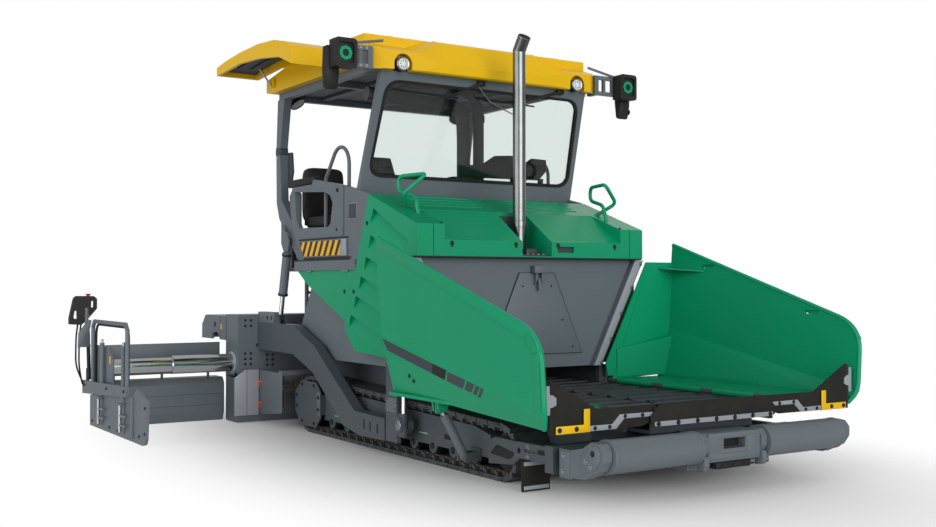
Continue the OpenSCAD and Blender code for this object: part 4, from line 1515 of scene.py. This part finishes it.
@dataclass
class HopperFittings(Fittings):
    """The rear wall, the middle apron and the hatch of the hopper, in millimetres."""

    wall: float = 981.0
    apron: float = 3260.0

    def build(self) -> None:
        """Makes every fitting of the hopper that stays with the tractor."""
        wall = self.piece("back_wall", GREY)
        wall.panel(Across.X, 946, [(-1300, 1735), (1300, 1735), (770, 746), (-770, 746)], 22)
        cheek = [(1190, 1735), (1300, 1735), (770, 746), (680, 746)]
        for s in (1, -1):
            wall.panel(Across.X, 967, [(s * y, z) for y, z in cheek], 61)
        wall.panel(Across.X, 967, [(-130, 1610), (254, 1610), (583, 873), (-459, 873)], 13, 2)
        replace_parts(wall.deliver(), "hopper_back_wall")
        seam = self.piece("hatch_seam", BLACK_PLASTIC)
        seam.panel(Across.X, 967, [(-135, 1614), (259, 1614), (590, 868), (-466, 868)], 11)
        seam.deliver()
        edge = self.piece("hopper_edges", SHADED_GREY)
        edge.boxes([(1060, 786, 566, 3050, 822, 585), (940, 772, 590, 1004, 850, 752)])
        edge.pair()
        strips = self.piece("wall_strips", MID_GREY)
        strips.panel(Across.X, 1028, [(1196, 1733), (1298, 1733), (772, 748), (690, 748)], 5, 2)
        strips.pair()
        bolts = self.piece("wall_bolts", ZINC)
        bolts.bolts(
            [mm(1033, y, z) for y, z in ((1262, 1700), (1150, 1470), (1018, 1225), (890, 985), (775, 770))],
            FORWARD,
            0.014,
            0.009,
        )
        bolts.pair()
        self._hatch()
        self._apron()

    def _hatch(self) -> None:
        """The hatch's latch with its handle, and the screws of the wall."""
        x = self.wall
        latch = self.piece("hatch_latch", GREY)
        latch.boxes([(x - 14, -4, 1606, x + 62, 128, 1676)], 8)
        lug = [(-2, 1610), (48, 1610), (40, 1540), (10, 1500), (-2, 1500)]
        for y in (22, 86):
            latch.panel(Across.Y, y, [(x + a, z) for a, z in lug], 16, 3)
        latch.tube([mm(x + 30, 62, 1560), mm(x + 40, 62, 1490), mm(x + 44, 62, 1452)], 0.014, 0.02)
        latch.deliver()
        screws = self.piece("wall_screws", DARK_STEEL)
        for y, z in ((-100, 1490), (224, 1490), (-230, 1180), (354, 1180), (-350, 930), (474, 930)):
            screws.rod(mm(x - 16, y, z), mm(x + 3, y, z), 0.011, 0.009, 10)
        screws.deliver()

    def _apron(self) -> None:
        """The rubber between the wing aprons and its bolted strip."""
        x = self.apron
        upper = [(-632, 518), (-640, 575), (-545, 668), (545, 668), (640, 575), (632, 518)]
        rubber = self.piece("middle_apron", BLACK_RUBBER)
        rubber.panel(Across.X, x, [*upper, (600, 505), (-600, 505)], 8, 3).deliver()
        seams = self.piece("middle_apron_seams", BLACK_PLASTIC)
        for y in (-120, 240):
            seams.boxes([(x + 6, y - 3, 545, x + 9, y + 3, 660)])
        seams.deliver()
        strip = self.piece("middle_apron_strip", MID_GREY)
        strip.panel(Across.X, x + 8, corners(0, 522, 604, 17), 7, reach=15)
        strip.deliver()
        bolts = self.piece("middle_apron_bolts", DARK_STEEL)
        bolts.bolts([mm(x + 15, -570 + i * 190, 522) for i in range(7)], FORWARD, 0.014, 0.008)
        bolts.deliver()


@dataclass
class PushBeamFittings(Fittings):
    """Bolts, pockets with painted shade, and the skid of the push beam, in millimetres."""

    body: str = "push_beam"
    axis: Tuple[float, float] = (3385.0, 350.0)
    roller: Tuple[float, float] = (330.0, 1156.0)
    end: float = 1246.0

    def build(self) -> None:
        """Makes every fitting of the push beam and its rollers."""
        x, z = self.axis
        ends = self.piece("roller_bracket_plates", GREY)
        cheek = [(3240, 215), (3395, 270), (3445, 335), (3448, 395), (3420, 430), (3352, 436), (3240, 360)]
        ends.panel(Across.Y, self.end - 1, cheek, 7, 3)
        ends.boxes([(3010, 1240, 185, 3120, 1252, 360)], 4)
        ends.pair()
        # Painted shade: a dark disc stands in for the hole in each bracket
        holes = self.piece("roller_bracket_holes", BLACK_PLASTIC)
        holes.rod(mm(3372, self.end + 4, 378), mm(3372, self.end + 8, 378), 0.022)
        holes.pair()
        bolts = self.piece("push_beam_bolts", ZINC)
        bolts.bolts([mm(3300, self.end + 6, 320), mm(3350, self.end + 6, 290)], OUTWARD, 0.016, 0.008)
        bolts.bolts([mm(3055, self.end + 6, h) for h in (215, 330)], OUTWARD, 0.016, 0.008)
        bolts.pair()
        box = self.piece("push_beam_box_plates", GREY)
        box.boxes([(3436, -262, 412, 3458, 262, 446), (3436, -262, 262, 3458, 262, 300)], 5)
        box.boxes([(3448, -262, 296, 3457, -128, 416), (3448, 128, 296, 3457, 262, 416)], 4)
        box.deliver()
        lugs = self.piece("push_beam_lugs", GREY)
        lugs.panel(Across.Y, 272, [(3390, 180), (3460, 190), (3478, 230), (3468, 290), (3390, 300)], 46, 6)
        lugs.pair()
        # Painted shade: the first dark plate stands at the back of the pocket in the box; the second box is
        # the dark skid under it
        dark = self.piece("push_beam_pocket", BLACK_PLASTIC)
        dark.boxes([(3378, -108, 333, 3384, 108, 402)])
        dark.boxes([(3320, -178, 186, 3446, 178, 236)], 10)
        dark.deliver()
        skid = self.piece("skid_bolts", DARK_STEEL)
        skid.bolts([mm(3446, y, 210) for y in (-110, 0, 110)], FORWARD, 0.012, 0.006)
        skid.deliver()
        for side in Side:
            collar = Workpiece(f"roller_collars_{side.word}", f"push_roller_{side.word}", GREY)
            for y in (self.roller[0] + 2, self.roller[1] - 30):
                low, high = (mm(x, side.value * (y + d), z) for d in (0, 28))
                collar.rod(low, high, 0.1185, segments=48, bevel=0.003)
            collar.deliver()


@dataclass
class TrackFittings(Fittings):
    """Links, lugs and pins of the track chains, in millimetres."""

    shoes: int = 53
    shoe: float = 28.0
    sprocket: Tuple[float, float] = (-1270.0, 286.0)
    idler: Tuple[float, float] = (2130.0, 222.0)
    chain: float = 1070.0

    def stations(self, share: float) -> List[Matrix]:
        """The place of every shoe on the loop.

        Args:
            share: The place along a shoe's own length, from 0 to 1.

        Returns:
            A shift and turn for each shoe, with z towards the inside.
        """
        fall = self.sprocket[1] - self.idler[1]
        line = self.idler[0] - self.sprocket[0]
        up = math.atan2(-fall, line) + math.acos(fall / math.hypot(line, fall))
        front, rear = self.idler[1] - self.shoe, self.sprocket[1] - self.shoe
        nose = (up + math.pi / 2) * front
        pitch = (2 * line + nose + (1.5 * math.pi - up) * rear) / self.shoes
        places = []
        for i in range(self.shoes):
            run = (i + share) * pitch
            if run < line:
                x, z, turn = self.sprocket[0] + run, self.shoe, 0.0
            elif run < line + nose:
                turn = (run - line) / front
                x = self.idler[0] + front * math.sin(turn)
                z = self.idler[1] - front * math.cos(turn)
            elif run < 2 * line + nose:
                turn = up + math.pi / 2
                back = run - line - nose
                x = self.idler[0] + front * math.cos(up) - back * math.sin(up)
                z = self.idler[1] + front * math.sin(up) + back * math.cos(up)
            else:
                turn = up + math.pi / 2 + (run - 2 * line - nose) / rear
                x = self.sprocket[0] + rear * math.sin(turn)
                z = self.sprocket[1] - rear * math.cos(turn)
            places.append(Matrix.Translation(mm(x, 0, z)) @ Matrix.Rotation(-turn, 4, "Y"))
        return places

    def build(self) -> None:
        """Makes the outer links, the lugs of the shoes and the pins."""
        y = self.chain
        links = self.piece("track_links", WORN_STEEL)
        lugs = self.piece("track_lugs", TRACK_STEEL)
        for place in self.stations(0.5):
            links.block(mm(-44, y, 6), mm(44, y + 16, 42), place=place)
            lugs.block(mm(-13, y + 16, 0), mm(13, y + 62, 38), place=place)
        for place in self.stations(1.0):
            links.rod(place @ mm(0, y - 2, 24), place @ mm(0, y + 24, 24), 0.015, segments=8)
        links.pair()
        lugs.pair()


@dataclass
class UndercarriageFittings(Fittings):
    """Guards, roller caps, flaps and tow points beside the tracks, in millimetres."""

    guard: float = 1156.0
    frame: float = 1100.0
    front: float = 1225.0
    tower: float = 1275.0

    def build(self) -> None:
        """Makes every fitting of the undercarriage."""
        self._guards()
        self._frames()
        self._front_arms()
        self._tow_points()

    def _guards(self) -> None:
        """The plate on the sprocket guard, and its bolts."""
        y = self.guard
        plate = self.piece("guard_plates", GREY)
        plate.panel(Across.Y, y, [(-1085, 425), (-1004, 428), (-1004, 192), (-1050, 178)], 6, 2)
        plate.pair()
        bolts = self.piece("guard_bolts", DARK_STEEL)
        spots = ((-1560, 250), (-1560, 360), (-1430, 480), (-1150, 480), (-1430, 104), (-1150, 104))
        bolts.bolts([mm(x, y, z) for x, z in spots], OUTWARD, 0.013, 0.008)
        bolts.bolts([mm(-1038, y + 6, z) for z in (250, 370)], OUTWARD, 0.014, 0.008)
        bolts.pair()

    def _frames(self) -> None:
        """Roller lobes with caps, light strips and the painted shade of a window on the track frames."""
        y = self.frame
        rollers = [-850 + 320 * i for i in range(9)]
        lobes = self.piece("roller_lobes", SHADED_GREY)
        caps = self.piece("roller_caps", DARK_STEEL)
        for x in rollers:
            lobes.rod(mm(x, y - 18, 143), mm(x, y + 2, 143), 0.062, bevel=0.004)
            caps.rod(mm(x, y, 143), mm(x, y + 14, 143), 0.03, 0.026, 16)
        lobes.pair()
        caps.pair()
        strips = self.piece("frame_strips", MID_GREY)
        strips.boxes([(-790, y - 2, 205, -560, y + 5, 219), (844, y - 2, 229, 989, y + 5, 242)], 2)
        strips.pair()
        # Painted shade: a dark plate stands in for the window in the frame
        window = self.piece("frame_windows", BLACK_PLASTIC)
        window.panel(Across.Y, y, [(1252, 262), (1378, 263), (1387, 224), (1260, 222)], INLAY)
        window.pair()

    def _front_arms(self) -> None:
        """Cover beside the idler, the painted shade of its recess and of the slot of the front arm, and the
        rubber flap.
        """
        y = self.front
        cover = self.piece("idler_covers", SHADED_GREY)
        outline = [(1990, 300), (2110, 345), (2456, 340), (2456, 240), (2345, 160), (2021, 130)]
        cover.panel(Across.Y, y - 79, outline, 28, 4)
        cover.pair()
        # Painted shade: dark plates stand in for the recess in the cover and the slot in the front arm
        leaf = self.piece("idler_cover_recesses", BLACK_PLASTIC)
        leaf.panel(Across.Y, y - 51, [(2040, 210), (2300, 195), (2390, 250), (2130, 290)], INLAY, reach=30)
        leaf.panel(Across.Y, y, corners(2790, 308, 66, 18), INLAY, reach=14)
        leaf.pair()
        self.piece("front_arm_bolts", ZINC).bolts([mm(2606, y, z) for z in (328, 262)], OUTWARD).pair()
        flap = self.piece("track_flaps", BLACK_RUBBER)
        flap.boxes([(2600, 1030, 8, 2615, 1284, 235)], 4)
        flap.boxes([(3248, 0, 517, 3260, 600, 640)])
        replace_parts(flap.pair(), "rubber_flaps")
        strips = self.piece("track_flap_strips", MID_GREY)
        for z in (22, 196):
            strips.boxes([(2614, 1044, z, 2620, 1270, z + 28)], 2)
        strips.pair()

    def _tow_points(self) -> None:
        """Scale plate, pin disc and bright rod of each tow point."""
        y = self.tower
        plate = self.piece("tow_point_plates", GREY)
        plate.panel(Across.Y, y, [(570, 400), (760, 400), (760, 520), (570, 520)], 6, 2)
        plate.pair()
        bolts = self.piece("tow_point_bolts", ZINC)
        bolts.bolts([mm(x, y + 6, z) for x in (600, 730) for z in (425, 495)], OUTWARD)
        bolts.rod(mm(798, y + 2, 301), mm(798, y + 16, 301), 0.05, bevel=0.004)
        bolts.pair()
        sleeve = self.piece("levelling_rods", CHROME)
        sleeve.rod(mm(845, y - 18, 402), mm(845, y - 18, 558), 0.0195)
        sleeve.pair()


@dataclass
class AugerFittings:
    """One auger with a wound flight, in millimetres."""

    side: Side
    axis: Tuple[float, float] = (-1970.0, 380.0)
    reach: Tuple[float, float] = (90.0, 1210.0)
    radii: Tuple[float, float] = (40.0, 196.0)
    pitch: float = 280.0
    thick: float = 12.0

    def build(self) -> None:
        """Makes the shaft and winds the flight round it."""
        piece = Workpiece(f"auger_flight_{self.side.word}", f"auger_{self.side.word}", WORN_STEEL)
        x, z = self.axis
        piece.rod(mm(x, 56, z), mm(x, 1244, z), 0.045)
        steps = round((self.reach[1] - self.reach[0]) / self.pitch * 24)
        rings = []
        for i in range(steps + 1):
            y = self.reach[0] + (self.reach[1] - self.reach[0]) * i / steps
            turn = math.tau * (y - self.reach[0]) / self.pitch
            way = Vector((math.cos(turn), 0, math.sin(turn)))
            edge = [mm(x, y, z) + way * r / 1000 for r in self.radii]
            half = mm(0, self.thick / 2, 0)
            corner = [edge[0] - half, edge[1] - half, edge[1] + half, edge[0] + half]
            rings.append([piece.mesh.verts.new(p) for p in corner])
        for a, b in zip(rings, rings[1:]):
            for k in range(4):
                piece.mesh.faces.new((a[k], b[k], b[(k + 1) % 4], a[(k + 1) % 4]))
        for ring in (rings[0], rings[-1]):
            piece.mesh.faces.new(ring)
        flight = piece.deliver(side=self.side)
        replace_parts(flight, f"auger_{self.side.word}")


@dataclass
class ChannelFittings(Fittings):
    """Side plates and folding flaps that close the auger channel, in millimetres."""

    side: float = 1278.0
    rear: float = -2262.0

    def build(self) -> None:
        """Makes the plates, the flaps with hinge and latches."""
        y, x = self.side, self.rear
        plates = self.piece("auger_side_plates", GREY)
        plates.panel(Across.Y, y, [(x + 14, 100), (-1650, 160), (-1650, 578), (x + 14, 578)], 12, 3)
        plates.boxes([(-1716, 700, 555, -1641, y + 6, 600), (-1745, 700, 540, -1715, y + 6, 600)])
        plates.boxes([(-2010, y - 31, 320, -1740, y - 1, 440)], 4)
        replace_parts(plates.pair(), "limit_plates")
        flaps = self.piece("auger_flaps", MID_GREY)
        flaps.panel(Across.X, x, [(y + 6, 92), (1568, 92), (1568, 500), (1450, 582), (y + 6, 582)], 12, 3)
        flaps.pair()
        hinges = self.piece("auger_flap_hinges", DARK_STEEL)
        hinges.rod(mm(x + 14, y + 4, 96), mm(x + 14, y + 4, 580), 0.012, segments=12)
        hinges.boxes([(x + 11, 1426, 96, x + 13, 1430, 575)])
        hinges.pair()
        latch = self.piece("auger_flap_latches", ORANGE)
        for z in (455, 225):
            latch.boxes([
                (x + 12, y + 12, z - 9, x + 98, y + 20, z + 9),
                (x + 6, y + 10, z - 60, x + 24, y + 24, z + 9),
            ], 3)
        latch.pair()


@dataclass
class ScreedFittings(Fittings):
    """Base screed with its rear hood, and the tow arms' details, in millimetres."""

    body: str = "screed"
    half: float = 1500.0
    face: float = -2330.0
    rear: float = -2690.0
    core: float = 200.0
    tube: Tuple[float, float] = (-2505.0, 650.0)
    bore: float = 98.5
    wall: float = 24.0
    arm: float = 1275.0

    def build(self) -> None:
        """Makes every fitting of the base screed and the tow arms."""
        self._beam()
        self._front_holes()
        self._sides()
        self._arms()

    def _beam(self) -> None:
        """The lower beam, the upper frame and the hood over the extensions."""
        half, rear = self.half, self.rear
        beam = self.piece("screed_beam", GREY)
        lower = [(-2300, 120), (-2360, 6), (rear, 6), (rear, 500), (-2360, 520), (-2300, 440)]
        beam.panel(Across.Y, -half, lower, 2 * half, 4)
        turns = [k * math.tau / 32 for k in range(32)]
        x, z = self.tube
        mouth = [(x + self.bore * math.cos(t), z + self.bore * math.sin(t)) for t in turns]
        frame = [(self.face, 492), (rear, 492), (rear, 1170), (self.face, 1170)]
        beam.panel(Across.Y, self.core, frame, half - self.core, holes=[mouth])
        beam.panel(Across.Y, -self.core, frame, self.core - half, holes=[mouth])
        beam.boxes([
            (rear, -self.core, 492, self.face, self.core, 1170),
            (-2420, -half, 440, -2340, half, 540),
        ])
        hood = [(rear + 10, 885), (-3450, 885), (-3450, 1040), (-3340, 1150), (rear + 10, 1150)]
        inner = [(rear + 10, 909), (-3426, 909), (-3426, 1030), (-3332, 1126), (rear + 10, 1126)]
        notch = [(-2880, 885), (-2905, 930), (-2960, 965), (-3075, 965), (-3120, 935), (-3120, 885)]
        for y in (-half, half - self.wall):
            beam.panel(Across.Y, y, [hood[0], *notch, *hood[1:]], self.wall)
        for a, b, c, d in zip(hood[1:], hood[2:], inner[2:], inner[1:]):
            beam.panel(Across.Y, self.wall - half, [a, b, c, d], 2 * (half - self.wall))
        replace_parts(beam.deliver(), "screed_base")
        tread = self.piece("screed_treads", MID_GREY)
        tread.boxes([
            (-3330, 12 - half, 1149, rear - 20, half - 12, 1154),
            (rear + 12, 12 - half, 1169, self.face - 20, half - 12, 1174),
        ], 2)
        tread.deliver()

    def _front_holes(self) -> None:
        """Painted shade of the bolt holes and a slot in the front face, as dark discs and a dark slot."""
        # Painted shade: dark discs and a slot stand in for the shade inside the holes
        holes = self.piece("screed_holes", BLACK_PLASTIC)
        groups = (((1417, 1353), (1113, 1051, 752, 695, 637)), ((1163, 1098), (731, 677, 623)))
        for across, heights in groups:
            for y in across:
                for z in heights:
                    holes.rod(mm(self.face - 2, y, z), mm(self.face + INLAY, y, z), 0.015, segments=16)
        holes.panel(Across.X, self.face, corners(1235, 841, 60, 18), INLAY, reach=17)
        holes.pair()

    def _sides(self) -> None:
        """Tube collars, seams, the painted shade of a lifting hole and blank labels on the sides."""
        y = self.half
        collar = self.piece("tube_collars", MID_GREY)
        x, z = self.tube
        bore = self.bore / 1000
        collar.lathe(
            [(bore, 0.0), (0.122, 0.0), (0.122, 0.008), (0.112, 0.014), (bore, 0.014), (bore, 0.0)],
            mm(x, y, z), OUTWARD,
        )
        collar.pair()
        dark = self.piece("screed_side_seams", BLACK_PLASTIC)
        # Painted shade: this dark disc stands in for the lifting hole; the thin boxes below are dark seams
        dark.rod(mm(-3030, y - 2, 1050), mm(-3030, y + INLAY, 1050), 0.03)
        dark.boxes([
            (-2682, y - 2, 905, -2678, y + INLAY, 1150),
            (-2862, y - 2, 905, -2858, y + INLAY, 1148),
        ])
        dark.pair()
        self.piece("screed_labels", YELLOW).block(mm(-2850, y - 1, 1000), mm(-2815, y + 2, 1060)).pair()

    def _arms(self) -> None:
        """Painted shade of the slots and holes in the tow arms, the box at their rear, and the glands of
        the lift cylinders.
        """
        y = self.arm
        # Painted shade: dark plates and discs stand in for the slots and two holes
        slots = self.piece("tow_arm_slots", BLACK_PLASTIC)
        for x, z in ((156, 243), (274, 233), (408, 225)):
            slots.panel(Across.Y, y, corners(x, z, 12, 44), INLAY, reach=11)
        for x in (-2068, -1959):
            slots.rod(mm(x, y - 4, 1146), mm(x, y - 1.5, 1146), 0.02)
        slots.pair()
        self.piece("tow_arm_boxes", GREY).boxes([(-2328, y - 98, 1086, -1915, y - 3, 1206)], 6).pair()
        glands = Workpiece("lift_glands", "lift_barrels", DARK_STEEL)
        eye, way = mm(-1655, y - 52.5, 1893), Vector((-0.2305, 0, -0.9731))
        for start, end, radius in ((0.496, 0.524, 0.053), (0.07, 0.1, 0.052)):
            glands.rod(eye + way * start, eye + way * end, radius, bevel=0.004)
        glands.pair()


@dataclass
class ExtensionFittings:
    """Screed extension with its end plate details and desk, in millimetres."""

    side: Side
    inner: float = 1512.0
    end: float = 2850.0
    front: float = -2700.0
    tube: Tuple[float, float] = (-2505.0, 650.0)

    def piece(self, name: str, finish: Any) -> Workpiece:
        """Starts a piece that is carried by this extension."""
        word = self.side.word
        return Workpiece(f"{name}_{word}", f"extension_{word}", finish)

    def build(self) -> None:
        """Makes every fitting of one extension."""
        self._body()
        self._end_plate()
        self._desk()

    def _body(self) -> None:
        """The lower body, the wall over it, painted shade in its folds and the sliding tube."""
        x, y0, y1 = self.front, self.inner, self.end
        body = self.piece("extension_body", GREY)
        lower = [(0, 110), (-40, 6), (-400, 6), (-400, 380), (-270, 480), (-50, 480), (0, 420)]
        body.panel(Across.Y, y0, [(x + a, z) for a, z in lower], y1 - y0 - 26, 4)
        body.boxes([(x - 165, y0, 528, x - 145, y1 - 26, 860)], 2)
        for y in (y0 + 120, y0 + 640, y1 - 180):
            body.boxes([(x - 163, y, 470, x - 147, y + 24, 532)])
        gable = [(-2320, 480), (-2320, 740), (-2420, 860), (x - 360, 860), (x - 360, 300), (x - 20, 300)]
        body.panel(Across.Y, y1 - 26, [*gable, (-2420, 460)], 26, 3)
        made = body.deliver(side=self.side)
        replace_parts(made, f"extension_{self.side.word}")
        along, height = self.tube
        sliding = self.piece("sliding_tube", CHROME)
        sliding.rod(mm(along, 1930, height), mm(along, y1 - 27, height), 0.08, segments=40)
        sliding.deliver(side=self.side)
        # Painted shade: thin dark grey lines stand in for the shade in the folds of the front sheet
        fold_shade_lines = self.piece("extension_folds", SHADED_GREY)
        for z in (300, 180):
            fold_shade_lines.boxes([(x - 2, y0 + 10, z, x + INLAY, y1 - 30, z + 6)])
        fold_shade_lines.deliver(side=self.side)

    def _end_plate(self) -> None:
        """Cranks of the height spindles, ribs, screws, a blank label and the hose on the rail."""
        y = self.end
        cranks = self.piece("height_cranks", ZINC)
        for x in (-2560, -1790):
            cranks.rod(mm(x, y + 70, 72), mm(x, y + 70, 330), 0.015)
            for z in (140, 232):
                cranks.rod(mm(x - 20, y + 70, z), mm(x + 150, y + 70, z), 0.01, segments=12)
            cranks.rod(mm(x, y + 34, 898), mm(x, y + 34, 940), 0.014)
        cranks.deliver(side=self.side)
        ribs = self.piece("end_plate_ribs", GREY)
        for x in (-2520, -1750):
            ribs.boxes([(x - 70, y + 56, 330, x + 20, y + 84, 352)], 4)
        ribs.boxes([(-1530, y + 24, 40, -1478, y + 44, 430)], 4)
        ribs.deliver(side=self.side)
        bolts = self.piece("end_plate_bolts", DARK_STEEL)
        sole = [(x, 60) for x in (-2950, -2700, -2300, -2000)]
        spots = [*sole, (-1300, 80), (-1130, 120), (-1120, 360)]
        bolts.bolts([mm(x, y + 26, z) for x, z in spots], OUTWARD, 0.012, 0.008)
        bolts.bolts([mm(x, y + 58, 425 + (x + 3200) * 0.03) for x in (-3150, -2300, -1700)], OUTWARD)
        bolts.deliver(side=self.side)
        label = self.piece("end_plate_label", YELLOW)
        label.boxes([(-2410, y - 1, 690, -2370, y + 2, 770)])
        label.deliver(side=self.side)
        hose = self.piece("rail_hose", HOSE)
        route = [
            (-2872, y + 16, 470), (-2872, y + 10, 1020), (-2820, y + 8, 1084), (-1780, y + 8, 1084),
            (-1700, y + 10, 1020), (-1698, y + 14, 500),
        ]
        hose.tube([mm(*p) for p in route], 0.013, 0.06, 10)
        hose.deliver(side=self.side)

    def _desk(self) -> None:
        """The remote desk with its grip holes, bracket, stop button and cables."""
        y = self.end
        shell = self.piece("desk_shell", BLACK_PLASTIC)
        outline = [
            (2768, 1240), (2768, 1347), (2800, 1376), (2985, 1378), (3012, 1350), (3056, 1140),
            (3056, 1074), (2930, 1066), (2880, 1110),
        ]
        grips = [
            [(2972, 1128), (3016, 1138), (3004, 1222), (2966, 1212)],
            [(2796, 1252), (2832, 1252), (2828, 1326), (2796, 1322)],
        ]
        shell.panel(Across.X, -3262, outline, 62, holes=grips, reach=12)
        shell.boxes([(-3328, 2850, 1150, -3258, 2960, 1356)], 14)
        shell.boxes([(-3230, y + 14, 330, -3120, y + 25, 600)], 4)
        shell.rod(mm(-3175, y + 4, 480), mm(-3175, y + 20, 1000), 0.02)
        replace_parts(shell.deliver(side=self.side), f"screed_desk_{self.side.word}")
        bracket = self.piece("desk_bracket", GREY)
        arm = [(2850, 830), (2985, 830), (2978, 985), (2880, 1120), (2842, 1120), (2872, 960)]
        bracket.panel(Across.X, -3150, arm, 22, 3)
        bracket.rod(mm(-3176, 2884, 1060), mm(-3176, 2884, 1250), 0.02)
        bracket.boxes([(-3204, 2860, 1160, -3150, 2908, 1176)])
        bracket.deliver(side=self.side)
        stop = self.piece("desk_stop", RED)
        stop.rod(mm(-3230, 2856, 1372), mm(-3230, 2856, 1386), 0.016)
        stop.rod(mm(-3230, 2856, 1384), mm(-3230, 2856, 1402), 0.028, 0.024, bevel=0.003)
        stop.deliver(side=self.side)
        cables = self.piece("desk_cables", HOSE)
        for shift in (0, 34):
            route = [
                (-3230, 2930 + shift, 1074), (-3236, 2946 + shift, 940), (-3230, 2950 + shift, 640),
                (-3205, 2920, 420 + shift), (-3180, 2876, 400 + shift),
            ]
            cables.tube([mm(*p) for p in route], 0.009, 0.08, 10)
        cables.deliver(side=self.side)


@dataclass
class Studio:
    """Pale floor, soft light and the camera at the photograph's angle."""

    place: Tuple[float, float, float] = (9.231, -6.05, 1.523)
    turn_deg: float = 56.98
    rise_deg: float = 0.966
    lens_mm: float = 43.29
    sensor_mm: float = 36.0
    floor_radius: float = 14.0
    fade_squeeze: Point = (0.53, 1.0, 1.0)
    fade_span: Tuple[float, float] = (1.2, 3.6)
    ambient: float = 0.36
    sheen: float = 0.45

    def build(self) -> None:
        """Makes the camera, the floor, the lamps and the world."""
        self._camera()
        self._floor()
        self._lamps()
        self._world()
        bpy.context.scene.view_settings.view_transform = "Standard"

    def _camera(self) -> None:
        """Sets the camera that matches the photograph."""
        data = bpy.data.cameras.new("camera")
        data.sensor_width = self.sensor_mm
        data.lens = self.lens_mm
        data.clip_end = 200.0
        turn, rise = math.radians(self.turn_deg), math.radians(self.rise_deg)
        level = math.cos(rise)
        way = Vector((-math.sin(turn) * level, math.cos(turn) * level, math.sin(rise)))
        camera = link_new("camera", data)
        camera.location = self.place
        camera.rotation_euler = way.to_track_quat("-Z", "Y").to_euler()
        bpy.context.scene.camera = camera

    def _floor(self) -> None:
        """Lays a pale floor that fades out round the machine's long shadow."""
        mesh = bmesh.new()
        bmesh.ops.create_circle(mesh, cap_ends=True, radius=self.floor_radius, segments=96)
        data = bpy.data.meshes.new("floor")
        mesh.to_mesh(data)
        mesh.free()
        bench = Bench("pale_floor")
        oval = bench.add("VectorMath", {0: bench.place, 1: self.fade_squeeze}, operation="MULTIPLY")
        reach = bench.add("VectorMath", {0: oval}, "Value", operation="LENGTH")
        low, high = self.fade_span
        fade = bench.add("MapRange", {0: reach, 1: low, 2: high}, interpolation_type="SMOOTHSTEP")
        clear = bench.add("BsdfTransparent", {})
        mixed = bench.add("MixShader", {0: fade, 1: bench.shader.outputs[0], 2: clear})
        fill_inputs(bench.tree, bench.tree.nodes["Material Output"], {0: mixed})
        data.materials.append(bench.done({"Base Color": linear("#F4F4F3"), "Roughness": 0.8}))
        link_new("floor", data)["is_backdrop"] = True

    def _lamps(self) -> None:
        """Hangs a soft key lamp in front, a fill on the near side and a weak one behind."""
        for name, strength, spread, way in (
            ("key", 1.75, 45.0, (-1.0, 0.1, -0.15)), ("fill", 1.42, 60.0, (-0.1, 1.0, -0.14)),
            ("back", 0.5, 60.0, (0.6, -0.8, -0.3)),
        ):
            data = bpy.data.lights.new(name, "SUN")
            data.energy = strength
            data.angle = math.radians(spread)
            lamp = link_new(name, data)
            lamp.rotation_euler = Vector(way).to_track_quat("-Z", "Y").to_euler()

    def _world(self) -> None:
        """Lights the scene evenly and shows white to the camera and glass, grey to metal."""
        world = bpy.data.worlds.new("studio")
        world.use_nodes = True
        bpy.context.scene.world = world
        tree = world.node_tree
        rays = ("Camera", "Transmission", "Glossy")
        camera, through, glossy = (add_node(tree, "LightPath", {}, f"Is {ray} Ray") for ray in rays)
        seen = add_node(tree, "Math", {0: camera, 1: through}, operation="MAXIMUM")
        sheen = add_node(tree, "MapRange", {0: glossy, 3: self.ambient, 4: self.sheen})
        level = add_node(tree, "Math", {0: seen, 1: sheen}, operation="MAXIMUM")
        fill_inputs(tree, tree.nodes["Background"], {"Strength": level, "Color": (1, 1, 1, 1)})


def main() -> List[List[float]]:
    """Builds the sub-assemblies in order.
    """
    logging.basicConfig(level=logging.INFO, format="%(name)s %(message)s")
    bpy.ops.object.select_all(action="SELECT")
    bpy.ops.object.delete()
    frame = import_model()
    box = [list(corner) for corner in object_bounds()]
    Studio().build()
    SHOP.dress_frame(frame["nodes"])
    wings = [WingFittings(side, Skin(frame["nodes"][f"hopper_wing_{side.word}"])) for side in Side]
    parts = [
        RoofFittings(),
        ScreenFittings(),
        StandFittings(),
        HoodFittings(),
        *wings,
        HopperFittings(),
        PushBeamFittings(),
        TrackFittings(),
        UndercarriageFittings(),
        *[AugerFittings(side) for side in Side],
        ChannelFittings(),
        ScreedFittings(),
        *[ExtensionFittings(side) for side in Side],
    ]
    for part in parts:
        part.build()
    return box


if __name__ == "__main__":
    cad_box = main()
